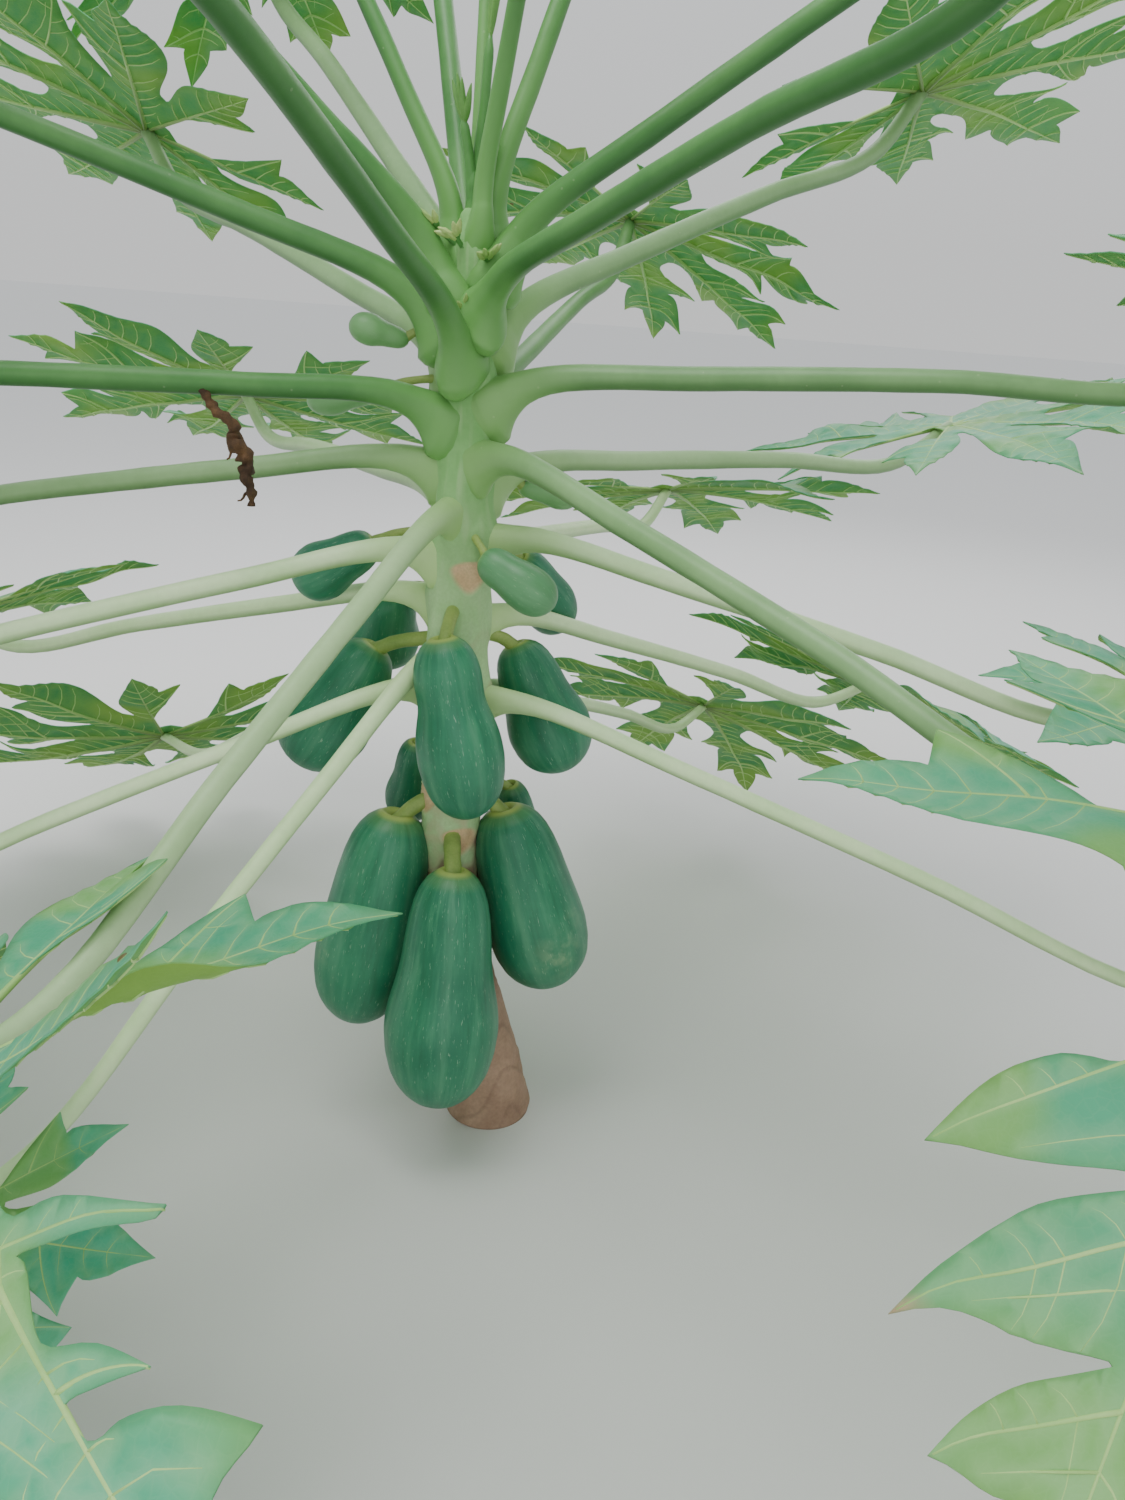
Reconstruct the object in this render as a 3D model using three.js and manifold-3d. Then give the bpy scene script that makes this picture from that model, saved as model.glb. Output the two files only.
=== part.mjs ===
// A young papaya plant in fruit: a trunk that bends at its foot, long-stalked leaves on a
// spiral round it, and the fruits and flowers that grow where the leaves meet the trunk.
// Millimetres and degrees, +Z up. The origin is the middle of the trunk's flat cut at ground
// level. The plant's front faces -Y, and directions round the trunk are counted from +X.

import * as THREE from 'three';
import { mergeVertices } from 'three/addons/utils/BufferGeometryUtils.js';
import Module from 'manifold-3d';

const wasm = await Module();
wasm.setup();

// Trunk
const TRUNK_TOP = 825;
const FOOT_BEND_HEIGHT = 250;
const FOOT_BEND_SHIFT = -48;
const TRUNK_RADII = [
  [0, 41], [22, 37], [100, 32], [280, 27], [550, 24.5], [640, 22], [700, 20], [800, 14.5], [825, 9],
];
const TRUNK_SIDES = 14;
const TRUNK_RINGS = 20;

// Room between neighbours that touch on the plant
const CLEARANCE = 0.3;

// Corners closer together than this are one corner
const SAME_CORNER = 0.001;

// The leaf spiral: three turns in eight leaves, closer together towards the top
const FIRST_DIRECTION = 73;
const DIVERGENCE = 135;
const LOWEST_NODE = 445;
const NODE_SPACING = 14.8;
const NODE_CROWDING = 0.045;

// Sizes that change with a leaf's number on the spiral, from the oldest, 0, to the youngest
const STALK_LENGTHS = [[0, 600], [22, 610], [28, 520], [32, 270]];
const STALK_RADII = [[0, 7.2], [12, 9], [20, 9.8], [27, 9.2], [32, 6]];
const BLADE_REACHES = [[0, 285], [22, 300], [27, 240], [29, 180], [32, 70]];

// Stalk: its swollen base, its long straight run and the neck that turns up under the blade
const STALK_SIDES = 5;
const STALK_STATIONS = [0, 0.07, 0.14, 0.28, 0.58, 0.86, 1];
const STALK_SIDEWAYS = [[0, 1.55], [0.07, 1.35], [0.14, 1.1], [0.28, 1], [0.86, 0.8], [1, 0.72]];
const STALK_UPWARD = [[0, 2.3], [0.07, 1.7], [0.14, 1.2], [0.28, 1], [0.86, 0.8], [1, 0.72]];
const BASE_DROP = 20;
const STALK_BOW = [[0.1, 0], [0.3, 3], [0.6, 4]];
const NECK_SHARE = 0.86;
const NECK_LIFT = 40;

// Blade: lobes round the stalk's end, in degrees from its outward direction. Reach is a share
// of the blade's reach. The points down one side of a lobe are shares of the lobe's own reach,
// along its rib and aside from it, from the notch that it shares with its neighbour to its tip
const FULL_SIDE = [[0.64, 0.2], [0.63, 0.09], [0.86, 0.15]];
const SHORT_SIDE = [[0.7, 0.22], [0.72, 0.1]];
const PLAIN_SIDE = [[0.58, 0.15]];
const WIDE_SIDE = [
  [0.45, 0.11], [0.57, 0.28], [0.68, 0.34], [0.61, 0.06], [0.77, 0.25], [0.85, 0.3], [0.78, 0.03],
  [0.9, 0.17], [0.96, 0.2], [0.93, 0.07],
];
const NEAR_SIDE = [
  [0.41, 0.045], [0.6, 0.19], [0.48, 0.03], [0.6, 0.012], [0.74, 0.09], [0.68, 0.004], [0.73, 0.006],
  [0.835, 0.14], [0.9, 0.025], [0.96, 0.07],
];
const FRONT_LOBE = { turn: 0, reach: 1, front: FULL_SIDE, rear: FULL_SIDE };
const SIDE_LOBES = [
  { turn: 39, reach: 0.98, front: FULL_SIDE, rear: FULL_SIDE },
  { turn: 77, reach: 0.92, front: FULL_SIDE, rear: SHORT_SIDE },
  { turn: 113, reach: 0.84, front: SHORT_SIDE, rear: PLAIN_SIDE },
  { turn: 150, reach: 0.66, front: PLAIN_SIDE, rear: SHORT_SIDE },
];
// The two leaves at the front have longer rear lobes. The left one has one short lobe that
// curls up, and the right one a broad lobe that hangs where others have two
const LONG_REAR_LOBE = { ...SIDE_LOBES[3], reach: 0.78 };
const LONG_REAR_LOBES = [...SIDE_LOBES.slice(0, 3), LONG_REAR_LOBE];
const CURLED_LEFT_LOBES = [
  SIDE_LOBES[0],
  { turn: 80, reach: 1.06, front: SHORT_SIDE, rear: NEAR_SIDE },
  { turn: 120, reach: 0.65, front: PLAIN_SIDE, rear: PLAIN_SIDE, curl: 0.6 },
  LONG_REAR_LOBE,
];
const BROAD_RIGHT_LOBES = [
  { turn: 34, reach: 0.98, front: FULL_SIDE, rear: FULL_SIDE },
  { turn: 71, reach: 1.05, front: FULL_SIDE, rear: WIDE_SIDE, curl: -0.28 },
  LONG_REAR_LOBE,
];
const NOTCH_SHARE = 0.36;
const REAR_NOTCH_SHARE = 0.09;
const BLADE_THICKNESS = 6;
const BLADE_DROOP = 0.08;
const YOUNG_DROOP = 0.35;
const YOUNG_FROM = 24;
const LOBE_FOLD = 0.16;
const BLADE_NOD = 20;
const NOD_PER_RISE = -0.4;

// Each leaf that is still on the plant: how far its stalk has swung round and been lifted from
// its place on the spiral, how steeply it rises, how its blade is turned about the stalk's end and how far
// the blade's edges droop
const LEAVES = {
  0: { swing: -12, rise: -20.5, nod: 34 },
  1: { swing: -3, rise: -19 },
  2: { swing: 0, rise: -15.2, lift: -22, length: 720 },
  3: { swing: 18, rise: -26.5, lift: -35, nod: 36, roll: 12, droop: -0.12 },
  4: { swing: -18.6, rise: -36.8, length: 590, nod: 35, reach: 205 },
  5: { swing: 11, rise: -19 },
  6: { swing: -3, rise: -16 },
  8: { swing: -3, rise: -6, nod: 12, roll: -10 },
  9: { swing: -3, rise: -12 },
  10: { swing: 9, rise: -13, turn: -20, nod: 14, reach: 262 },
  11: { swing: 4, rise: -2, nod: 22, roll: 12, droop: -0.05 },
  12: {
    swing: -3, rise: -24.5, length: 616, turn: -17, nod: 24, roll: 18, reach: 305, droop: 0.2,
    left: CURLED_LEFT_LOBES, right: LONG_REAR_LOBES,
  },
  13: { swing: 8, rise: -1, nod: -12, roll: -9 },
  14: { swing: 20, rise: -10 },
  15: {
    swing: 14, rise: -13, length: 656, turn: 6, nod: 14, roll: 8, reach: 280, droop: 0.2,
    left: LONG_REAR_LOBES, right: BROAD_RIGHT_LOBES,
  },
  16: { swing: 4, rise: 13.5, nod: 22, roll: 12 },
  17: { swing: -4, rise: 0 },
  18: { swing: 4, rise: 4 },
  19: { swing: 15, rise: 14, turn: 32, nod: -7, roll: 25, droop: 0 },
  20: { swing: 3, rise: 23 },
  21: { swing: 15, rise: 20, turn: -35, nod: -16, roll: -18, droop: 0 },
  22: { swing: 27, rise: 17 },
  23: { swing: 2, rise: 15 },
  24: { swing: 32, rise: 46, lift: -7 },
  25: { swing: -7, rise: 41, lift: -21, nod: -2, roll: 12 },
  26: { swing: 0, rise: 34, lift: -14 },
  27: { swing: 8, rise: 32, lift: -42, roll: -4 },
  29: { swing: 9, rise: 68, lift: -42 },
  30: { swing: -6, rise: 58, lift: -56 },
  31: { swing: -2, rise: 65, lift: -56 },
  32: { swing: 20, rise: 76, lift: -63 },
};

// Fruits: where the top and the tip of each lie, how thick it is, and how narrow its shoulder.
// The fruit stalk leaves the trunk a little above the fruit's top
const FRUITS = {
  fruit_low_front: { top: [-38, -60, 289], tip: [-42, -94, 67], width: 101, shoulder: 0.86 },
  fruit_low_left: { top: [-96, -12, 318], tip: [-132, -30, 108], width: 94, shoulder: 1 },
  fruit_low_right: { top: [0, -1, 326], tip: [56, -9, 150], width: 93, shoulder: 0.95 },
  fruit_low_behind: { top: [2, 48, 330], tip: [22, 82, 215], width: 54, shoulder: 0.8 },
  fruit_low_hidden: { top: [-88, 44, 367], tip: [-98, 72, 275], width: 48, shoulder: 0.8 },
  fruit_middle_front: { top: [-56, -58, 498], tip: [-25, -66, 343], width: 74, shoulder: 0.95 },
  fruit_middle_left: { top: [-123, 23, 463], tip: [-189, 7, 351], width: 83, shoulder: 0.85 },
  fruit_middle_right: { top: [0, 36, 471], tip: [54, 28, 356], width: 77, shoulder: 0.85 },
  fruit_middle_behind: { top: [-118, 80, 502], tip: [-133, 112, 422], width: 68, shoulder: 0.85 },
  fruit_upper_left: { top: [-124, 13, 558], tip: [-190, 5, 516], width: 51, shoulder: 0.85 },
  fruit_upper_front: { top: [-28, -36, 562], tip: [34, -52, 529], width: 39, shoulder: 1 },
  fruit_upper_right: { top: [-2, 67, 543], tip: [39, 117, 468], width: 52, shoulder: 0.9 },
  fruit_young_right: { top: [-4, 30, 610], tip: [46, 52, 600], width: 24, shoulder: 0.8 },
  fruit_young_left: { top: [-98, 4, 722], tip: [-142, -12, 733], width: 25, shoulder: 0.8 },
  fruit_shaded_left: { top: [-122, 18, 680], tip: [-186, 40, 666], width: 27, shoulder: 0.8 },
};
const FRUIT_SIDES = 9;
const FRUIT_PROFILE = [[0.02, 0.32], [0.07, 0.62], [0.16, 0.87], [0.33, 1], [0.7, 0.9], [0.87, 0.76], [0.96, 0.54]];
const SHOULDER_FROM = 0.5;
const FRUIT_STALK_RISE = 16;
const FRUIT_STALK_SHARE = 0.075;
const FRUIT_STALK_LEAST = 3.2;
const FRUIT_STALK_KNEE = 0.75;
const FRUIT_STALK_DEPTH = 0.08;
const FRUIT_STALK_STATIONS = [0, 0.4, 0.7, 1];

// Flower clusters in the upper leaf axils
const FLOWERS = [
  { direction: 205, height: 786, reach: 44 },
  { direction: 300, height: 768, reach: 36 },
  { direction: 325, height: 758, reach: 34 },
  { direction: 240, height: 784, reach: 30 },
  { direction: 262, height: 733, reach: 30 },
];
const FLOWER_RISE = 35;
const FLOWER_STALK_RADIUS = 2.2;
const BUD_LENGTH = 15;
const BUD_RADIUS = 3.6;
const BUD_TURNS = [-60, -10, 45];
const BUD_RISE_PER_TURN = 1 / 3;
const BUD_SIDES = 4;

// Growing tip: folded young leaves that stand on the trunk's end
const HEART_LEAVES = [
  { direction: 20, lean: 3, length: 180, radius: 7 },
  { direction: 220, lean: 14, length: 90, radius: 7 },
  { direction: 330, lean: 14, length: 62, radius: 6 },
];
const HEART_BASE_PROFILE = [[0, 7], [0.5, 5.6]];
const HEART_BASE_HEIGHT = 24;
const HEART_LEAF_DEPTH = 3;
const HEART_SIDES = 6;

// Buds and folded leaves are spindles: share of the length, share of the thickest radius
const SPINDLE_PROFILE = [[0.1, 0.6], [0.55, 1]];

// Dried flower stem that hangs from a leaf stalk on the left
const DRIED_STEM = { leaf: 17, share: 0.44, aside: 45, drop: 88, endRadius: 3.5, bulge: 4.5 };
const DRIED_STEM_STATIONS = [0, 0.25, 0.5, 0.75, 1];
const DRIED_STEM_SIDES = 6;

// Surfaces
const bark = new THREE.MeshStandardMaterial({ color: 0x9a8a5c, roughness: 0.8 });
const leafGreen = new THREE.MeshStandardMaterial({ color: 0x5f9a6a, roughness: 0.55, side: THREE.DoubleSide });
const fruitGreen = new THREE.MeshStandardMaterial({ color: 0x2f6b47, roughness: 0.4 });
const budYellow = new THREE.MeshStandardMaterial({ color: 0xc5cf86, roughness: 0.6 });
const driedBrown = new THREE.MeshStandardMaterial({ color: 0x4a3420, roughness: 0.9 });

// Value between the pairs of a rising table of [where, value]
function between(table, where) {
  if (where <= table[0][0]) return table[0][1];
  for (let k = 1; k < table.length; k++) {
    const [x0, v0] = table[k - 1];
    const [x1, v1] = table[k];
    if (where <= x1) return THREE.MathUtils.lerp(v0, v1, (where - x0) / (x1 - x0));
  }
  return table[table.length - 1][1];
}

function heading(direction, rise) {
  const level = Math.cos(THREE.MathUtils.degToRad(rise));
  const turn = THREE.MathUtils.degToRad(direction);
  const up = Math.sin(THREE.MathUtils.degToRad(rise));
  return new THREE.Vector3(level * Math.cos(turn), level * Math.sin(turn), up);
}

// A closed geometry as a solid for joining and cutting, without slivers at its poles
function solidOf(geometry) {
  const bare = geometry.clone();
  bare.deleteAttribute('normal');
  bare.deleteAttribute('uv');
  const merged = mergeVertices(bare, SAME_CORNER);
  const corners = [];
  for (let k = 0; k < merged.index.count; k += 3) {
    const [a, b, c] = [0, 1, 2].map((step) => merged.index.getX(k + step));
    if (a !== b && b !== c && c !== a) corners.push(a, b, c);
  }
  return new wasm.Manifold(new wasm.Mesh({
    numProp: 3,
    vertProperties: new Float32Array(merged.attributes.position.array),
    triVerts: new Uint32Array(corners),
  }));
}

// The largest closed piece of a solid, without the scraps that a cut leaves
function mainPiece(solid) {
  const pieces = solid.decompose();
  return pieces.reduce((best, piece) => (piece.volume() > best.volume() ? piece : best));
}

// What is left of a solid beside its neighbours
function cutClear(solid, neighbours) {
  let left = solid;
  for (const neighbour of neighbours) {
    if (left.intersect(neighbour).volume() > 0) left = left.subtract(neighbour);
  }
  return mainPiece(left);
}

// A named mesh whose own zero point is where the piece grows from the plant
function pieceOf(name, solid, foot, material) {
  const mesh = solid.getMesh();
  const geometry = new THREE.BufferGeometry();
  const positions = [];
  for (let k = 0; k < mesh.numVert; k++) {
    const at = k * mesh.numProp;
    positions.push(mesh.vertProperties[at], mesh.vertProperties[at + 1], mesh.vertProperties[at + 2]);
  }
  geometry.setAttribute('position', new THREE.Float32BufferAttribute(positions, 3));
  geometry.setIndex(Array.from(mesh.triVerts));
  geometry.translate(-foot.x, -foot.y, -foot.z);
  geometry.computeVertexNormals();
  const piece = new THREE.Mesh(geometry, material);
  piece.name = name;
  piece.position.copy(foot);
  return piece;
}

// A round bar bent along a path. Its radii across and along the sideways direction are given
// at each share of its length
function bentBar(path, sideways, radiusUp, radiusAside, sides, stations) {
  const geometry = new THREE.CylinderGeometry(1, 1, 1, sides, stations.length - 1);
  const spots = geometry.attributes.position;
  for (let k = 0; k < spots.count; k++) {
    const share = stations[Math.round((spots.getY(k) + 0.5) * (stations.length - 1))];
    const tangent = path.getTangent(share);
    const up = new THREE.Vector3().crossVectors(tangent, sideways).normalize();
    const spot = path.getPoint(share);
    spot.addScaledVector(up, spots.getX(k) * radiusUp(share));
    spot.addScaledVector(sideways, spots.getZ(k) * radiusAside(share));
    spots.setXYZ(k, spot.x, spot.y, spot.z);
  }
  return solidOf(geometry);
}

// A round body turned about the line from its tip to its top, from [share of the way, radius]
function turnedBody(tip, top, profile, sides) {
  const length = tip.distanceTo(top);
  const points = [new THREE.Vector2(0, 0)];
  for (const [share, radius] of profile) points.push(new THREE.Vector2(radius, share * length));
  points.push(new THREE.Vector2(0, length));
  const geometry = new THREE.LatheGeometry(points, sides);
  const axis = new THREE.Vector3().subVectors(top, tip).normalize();
  geometry.applyQuaternion(new THREE.Quaternion().setFromUnitVectors(new THREE.Vector3(0, 1, 0), axis));
  geometry.translate(tip.x, tip.y, tip.z);
  return solidOf(geometry);
}

function trunkCentre(height) {
  const share = THREE.MathUtils.smoothstep(height, 0, FOOT_BEND_HEIGHT);
  return new THREE.Vector3(FOOT_BEND_SHIFT * share, 0, height);
}

// Trunk: a turned bar, set over to one side above its foot
function trunkSolid(extra) {
  const points = [new THREE.Vector2(0, 0)];
  for (let k = 0; k <= TRUNK_RINGS; k++) {
    const height = TRUNK_TOP * (k / TRUNK_RINGS);
    points.push(new THREE.Vector2(between(TRUNK_RADII, height) + extra, height));
  }
  points.push(new THREE.Vector2(0, TRUNK_TOP + extra));
  const geometry = new THREE.LatheGeometry(points, TRUNK_SIDES);
  geometry.rotateX(Math.PI / 2);
  const spots = geometry.attributes.position;
  for (let k = 0; k < spots.count; k++) {
    spots.setX(k, spots.getX(k) + trunkCentre(spots.getZ(k)).x);
  }
  return solidOf(geometry);
}

// Where a leaf grows, and the path of its stalk from inside the trunk to its blade
function stalkPath(number) {
  const { swing, rise, lift = 0, length = between(STALK_LENGTHS, number) } = LEAVES[number];
  const direction = FIRST_DIRECTION + DIVERGENCE * number + swing;
  const height = LOWEST_NODE + NODE_SPACING * number - NODE_CROWDING * number * number + lift;
  const foot = trunkCentre(height);
  const outward = heading(direction, rise);
  const upward = heading(direction, rise + 90);
  const spot = (along, above) => foot.clone().addScaledVector(outward, along).addScaledVector(upward, above);
  const neck = NECK_LIFT * Math.cos(THREE.MathUtils.degToRad(rise));
  const curve = new THREE.CatmullRomCurve3([
    spot(0, -BASE_DROP),
    ...STALK_BOW.map(([along, above]) => spot(length * along, above)),
    spot(length * NECK_SHARE, 0),
    spot(length, neck),
  ]);
  return { direction, foot, curve, sideways: heading(direction + 90, 0) };
}

function stalkSolid(number, extra) {
  const { curve, sideways } = stalkPath(number);
  const radius = between(STALK_RADII, number);
  const radiusUp = (share) => radius * between(STALK_UPWARD, share) + extra;
  const radiusAside = (share) => radius * between(STALK_SIDEWAYS, share) + extra;
  return bentBar(curve, sideways, radiusUp, radiusAside, STALK_SIDES, STALK_STATIONS);
}

// The lobes of a blade, from the rear on its right round to the rear on its left. Each has
// its side before the rib and its side after it, in that order of travel
function lobesRound({ left = SIDE_LOBES, right = SIDE_LOBES }) {
  const front = { ...FRONT_LOBE, before: FRONT_LOBE.rear, after: FRONT_LOBE.front };
  const onRight = right.map((lobe) => ({ ...lobe, turn: -lobe.turn, before: lobe.rear, after: lobe.front }));
  const onLeft = left.map((lobe) => ({ ...lobe, before: lobe.front, after: lobe.rear }));
  return [...onRight.reverse(), front, ...onLeft];
}

// A blade from above: its corners with their heights over the stalk's end, the rim that they
// make, and the fields to fill with faces, which are the middle between the notches and the lobes
function bladePlan(lobes, reach, droop) {
  const corners = [];
  const rim = [];
  const middle = [];
  const fields = [middle];
  const add = (turn, along, aside, curl, offRib) => {
    const spot = new THREE.Vector2(along, aside).rotateAround(new THREE.Vector2(), THREE.MathUtils.degToRad(turn));
    const height = LOBE_FOLD * offRib + ((curl - droop) * spot.lengthSq()) / reach;
    corners.push(new THREE.Vector3(spot.x, spot.y, height));
    return corners.length - 1;
  };
  const rearNotch = add(180, reach * REAR_NOTCH_SHARE, 0, 0, 0);
  let notch = rearNotch;
  lobes.forEach((lobe, place) => {
    const own = lobe.reach * reach;
    const curl = lobe.curl ?? 0;
    const side = (points, hand) => points.map(([along, aside]) => (
      add(lobe.turn, own * along, hand * own * aside, curl, own * aside)));
    const before = side(lobe.before, -1);
    const tip = add(lobe.turn, own, 0, curl, 0);
    const after = side(lobe.after, 1).reverse();
    middle.push(notch);
    rim.push(notch, ...before, tip, ...after);
    const field = [notch, ...before, tip, ...after];
    notch = rearNotch;
    const next = lobes[place + 1];
    if (next) {
      const radius = ((lobe.reach + next.reach) / 2) * reach * NOTCH_SHARE;
      const halfGap = THREE.MathUtils.degToRad((next.turn - lobe.turn) / 2);
      notch = add((lobe.turn + next.turn) / 2, radius, 0, 0, radius * Math.sin(halfGap));
    }
    fields.push([...field, notch]);
  });
  return { corners, rim, fields };
}

// Blade: a thin folded sheet with a real thickness, laid over the end of the stalk
function bladeSolid(number) {
  const leaf = LEAVES[number];
  const { rise, turn = 0, roll = 0 } = leaf;
  const { nod = BLADE_NOD + NOD_PER_RISE * rise, reach = between(BLADE_REACHES, number) } = leaf;
  const { droop = number >= YOUNG_FROM ? YOUNG_DROOP : BLADE_DROOP } = leaf;
  const { corners, rim, fields } = bladePlan(lobesRound(leaf), reach, droop);
  const positions = [];
  for (const level of [0, -BLADE_THICKNESS]) {
    for (const corner of corners) positions.push(corner.x, corner.y, corner.z + level);
  }
  const below = corners.length;
  const faces = [];
  for (const field of fields) {
    const outline = field.map((k) => new THREE.Vector2(corners[k].x, corners[k].y));
    for (const face of THREE.ShapeUtils.triangulateShape(outline, [])) {
      const [a, b, c] = face.map((k) => field[k]);
      faces.push(a, b, c, below + a, below + c, below + b);
    }
  }
  rim.forEach((a, place) => {
    const b = rim[(place + 1) % rim.length];
    faces.push(a, below + a, below + b, a, below + b, b);
  });
  const geometry = new THREE.BufferGeometry();
  geometry.setAttribute('position', new THREE.Float32BufferAttribute(positions, 3));
  geometry.setIndex(faces);
  const { direction, curve } = stalkPath(number);
  geometry.rotateX(THREE.MathUtils.degToRad(roll));
  geometry.rotateY(THREE.MathUtils.degToRad(nod));
  geometry.rotateZ(THREE.MathUtils.degToRad(direction + turn));
  const end = curve.getPoint(1);
  geometry.translate(end.x, end.y, end.z + BLADE_THICKNESS / 2);
  return solidOf(geometry);
}

// Fruit on its short stalk
function fruitSolid({ top, tip, width, shoulder }) {
  const topSpot = new THREE.Vector3(...top);
  const tipSpot = new THREE.Vector3(...tip);
  const profile = FRUIT_PROFILE.map(([share, radius]) => {
    const narrowing = share > SHOULDER_FROM ? shoulder : 1;
    return [share, (radius * narrowing * width) / 2];
  });
  const body = turnedBody(tipSpot, topSpot, profile, FRUIT_SIDES);
  const start = trunkCentre(topSpot.z + FRUIT_STALK_RISE);
  const inside = topSpot.clone().lerp(tipSpot, FRUIT_STALK_DEPTH);
  const knee = start.clone().lerp(topSpot, FRUIT_STALK_KNEE).setZ(start.z);
  const path = new THREE.QuadraticBezierCurve3(start, knee, inside);
  const sideways = new THREE.Vector3(-(topSpot.y - start.y), topSpot.x - start.x, 0).normalize();
  const radius = Math.max(width * FRUIT_STALK_SHARE, FRUIT_STALK_LEAST);
  const stalk = bentBar(path, sideways, () => radius, () => radius, STALK_SIDES, FRUIT_STALK_STATIONS);
  return body.add(stalk);
}

// Spindle: a bud or a folded young leaf
function spindle(foot, direction, rise, length, radius, sides) {
  const end = foot.clone().addScaledVector(heading(direction, rise), length);
  return turnedBody(foot, end, SPINDLE_PROFILE.map(([along, share]) => [along, share * radius]), sides);
}

// Flower cluster: a short stalk with buds that spread from its end
function flowerSolid({ direction, height, reach }) {
  const foot = trunkCentre(height);
  const outward = heading(direction, FLOWER_RISE);
  const end = foot.clone().addScaledVector(outward, reach);
  const path = new THREE.LineCurve3(foot, end);
  const stalkRadius = () => FLOWER_STALK_RADIUS;
  let cluster = bentBar(path, heading(direction + 90, 0), stalkRadius, stalkRadius, BUD_SIDES, [0, 1]);
  for (const turn of BUD_TURNS) {
    const start = end.clone().addScaledVector(outward, -FLOWER_STALK_RADIUS);
    const rise = FLOWER_RISE + turn * BUD_RISE_PER_TURN;
    cluster = cluster.add(spindle(start, direction + turn, rise, BUD_LENGTH, BUD_RADIUS, BUD_SIDES));
  }
  return cluster;
}

function heartSolid() {
  const foot = trunkCentre(TRUNK_TOP + CLEARANCE);
  const peak = foot.clone().setZ(foot.z + HEART_BASE_HEIGHT);
  let heart = turnedBody(foot, peak, HEART_BASE_PROFILE, HEART_SIDES);
  for (const { direction, lean, length, radius } of HEART_LEAVES) {
    const start = foot.clone().setZ(foot.z + HEART_LEAF_DEPTH);
    heart = heart.add(spindle(start, direction, 90 - lean, length, radius, HEART_SIDES));
  }
  return heart;
}

// Dried stem: a crooked twist that hangs down from the underside of a leaf stalk
function driedStemParts() {
  const { leaf, share, aside, drop, endRadius, bulge } = DRIED_STEM;
  const { curve } = stalkPath(leaf);
  const top = curve.getPoint(share);
  const bottom = top.clone().add(new THREE.Vector3(aside, 0, -drop));
  const bend = top.clone().add(new THREE.Vector3(aside, 0, -drop / 3));
  const path = new THREE.QuadraticBezierCurve3(top, bend, bottom);
  const thick = (along) => endRadius + bulge * Math.sin(Math.PI * along);
  const solid = bentBar(path, new THREE.Vector3(0, 1, 0), thick, thick, DRIED_STEM_SIDES, DRIED_STEM_STATIONS);
  return { foot: top, solid };
}

const plant = new THREE.Group();
const trunk = trunkSolid(0);
const trunkRoom = trunkSolid(CLEARANCE);
plant.add(pieceOf('trunk', trunk, new THREE.Vector3(), bark));

// Leaves from the oldest up, each cut clear of the trunk and of the stalks under it
const leafGroup = new THREE.Group();
const stalkRooms = [];
for (const number of Object.keys(LEAVES).map(Number)) {
  const stalk = cutClear(stalkSolid(number, 0), [trunkRoom, ...stalkRooms]);
  const leaf = stalk.add(bladeSolid(number));
  const name = `leaf_${String(number).padStart(2, '0')}`;
  leafGroup.add(pieceOf(name, leaf, stalkPath(number).foot, leafGreen));
  stalkRooms.push(stalkSolid(number, CLEARANCE));
}
plant.add(leafGroup);

const fruitGroup = new THREE.Group();
for (const [name, fruit] of Object.entries(FRUITS)) {
  const solid = cutClear(fruitSolid(fruit), [trunkRoom, ...stalkRooms]);
  fruitGroup.add(pieceOf(name, solid, new THREE.Vector3(...fruit.top), fruitGreen));
}
plant.add(fruitGroup);

const flowerGroup = new THREE.Group();
FLOWERS.forEach((flower, place) => {
  const solid = cutClear(flowerSolid(flower), [trunkRoom, ...stalkRooms]);
  flowerGroup.add(pieceOf(`flowers_${place + 1}`, solid, trunkCentre(flower.height), budYellow));
});
plant.add(flowerGroup);

const heart = cutClear(heartSolid(), stalkRooms);
plant.add(pieceOf('heart', heart, trunkCentre(TRUNK_TOP), leafGreen));

const driedStem = driedStemParts();
plant.add(pieceOf('dried_stem', cutClear(driedStem.solid, stalkRooms), driedStem.foot, driedBrown));

export default plant;
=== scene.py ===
"""Young dwarf papaya plant in fruit: the finish of its trunk, leaves, fruits and flowers.

Lengths are in millimetres up to the point where a mesh is made, and in metres from there on.
Directions round the trunk are in degrees from +X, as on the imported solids.
"""
import math

import bpy
import numpy as np
from mathutils import Matrix, Vector
from mathutils.geometry import delaunay_2d_cdt


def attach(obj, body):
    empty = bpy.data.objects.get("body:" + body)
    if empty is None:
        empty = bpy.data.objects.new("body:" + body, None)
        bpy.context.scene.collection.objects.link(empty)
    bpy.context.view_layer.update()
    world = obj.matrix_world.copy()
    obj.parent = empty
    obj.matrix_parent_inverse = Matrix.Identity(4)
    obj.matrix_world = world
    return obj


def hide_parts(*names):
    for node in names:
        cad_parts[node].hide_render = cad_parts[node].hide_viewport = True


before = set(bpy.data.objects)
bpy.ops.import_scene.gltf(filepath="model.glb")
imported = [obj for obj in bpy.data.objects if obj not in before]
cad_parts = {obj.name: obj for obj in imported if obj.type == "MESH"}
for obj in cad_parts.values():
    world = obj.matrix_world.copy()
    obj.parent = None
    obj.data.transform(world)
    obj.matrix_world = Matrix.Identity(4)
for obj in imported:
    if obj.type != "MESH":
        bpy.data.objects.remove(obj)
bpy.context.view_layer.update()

MM = 0.001

# View of the photograph, from 1125 by 1500 pixels
CAMERA_PLACE = (0.049, -1.0, 0.77)
CAMERA_PITCH = 21.0
CAMERA_ROLL = 4.3
CAMERA_LENS = 28.8
CAMERA_SENSOR = 36.0
CAMERA_CLIP = 0.02

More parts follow.
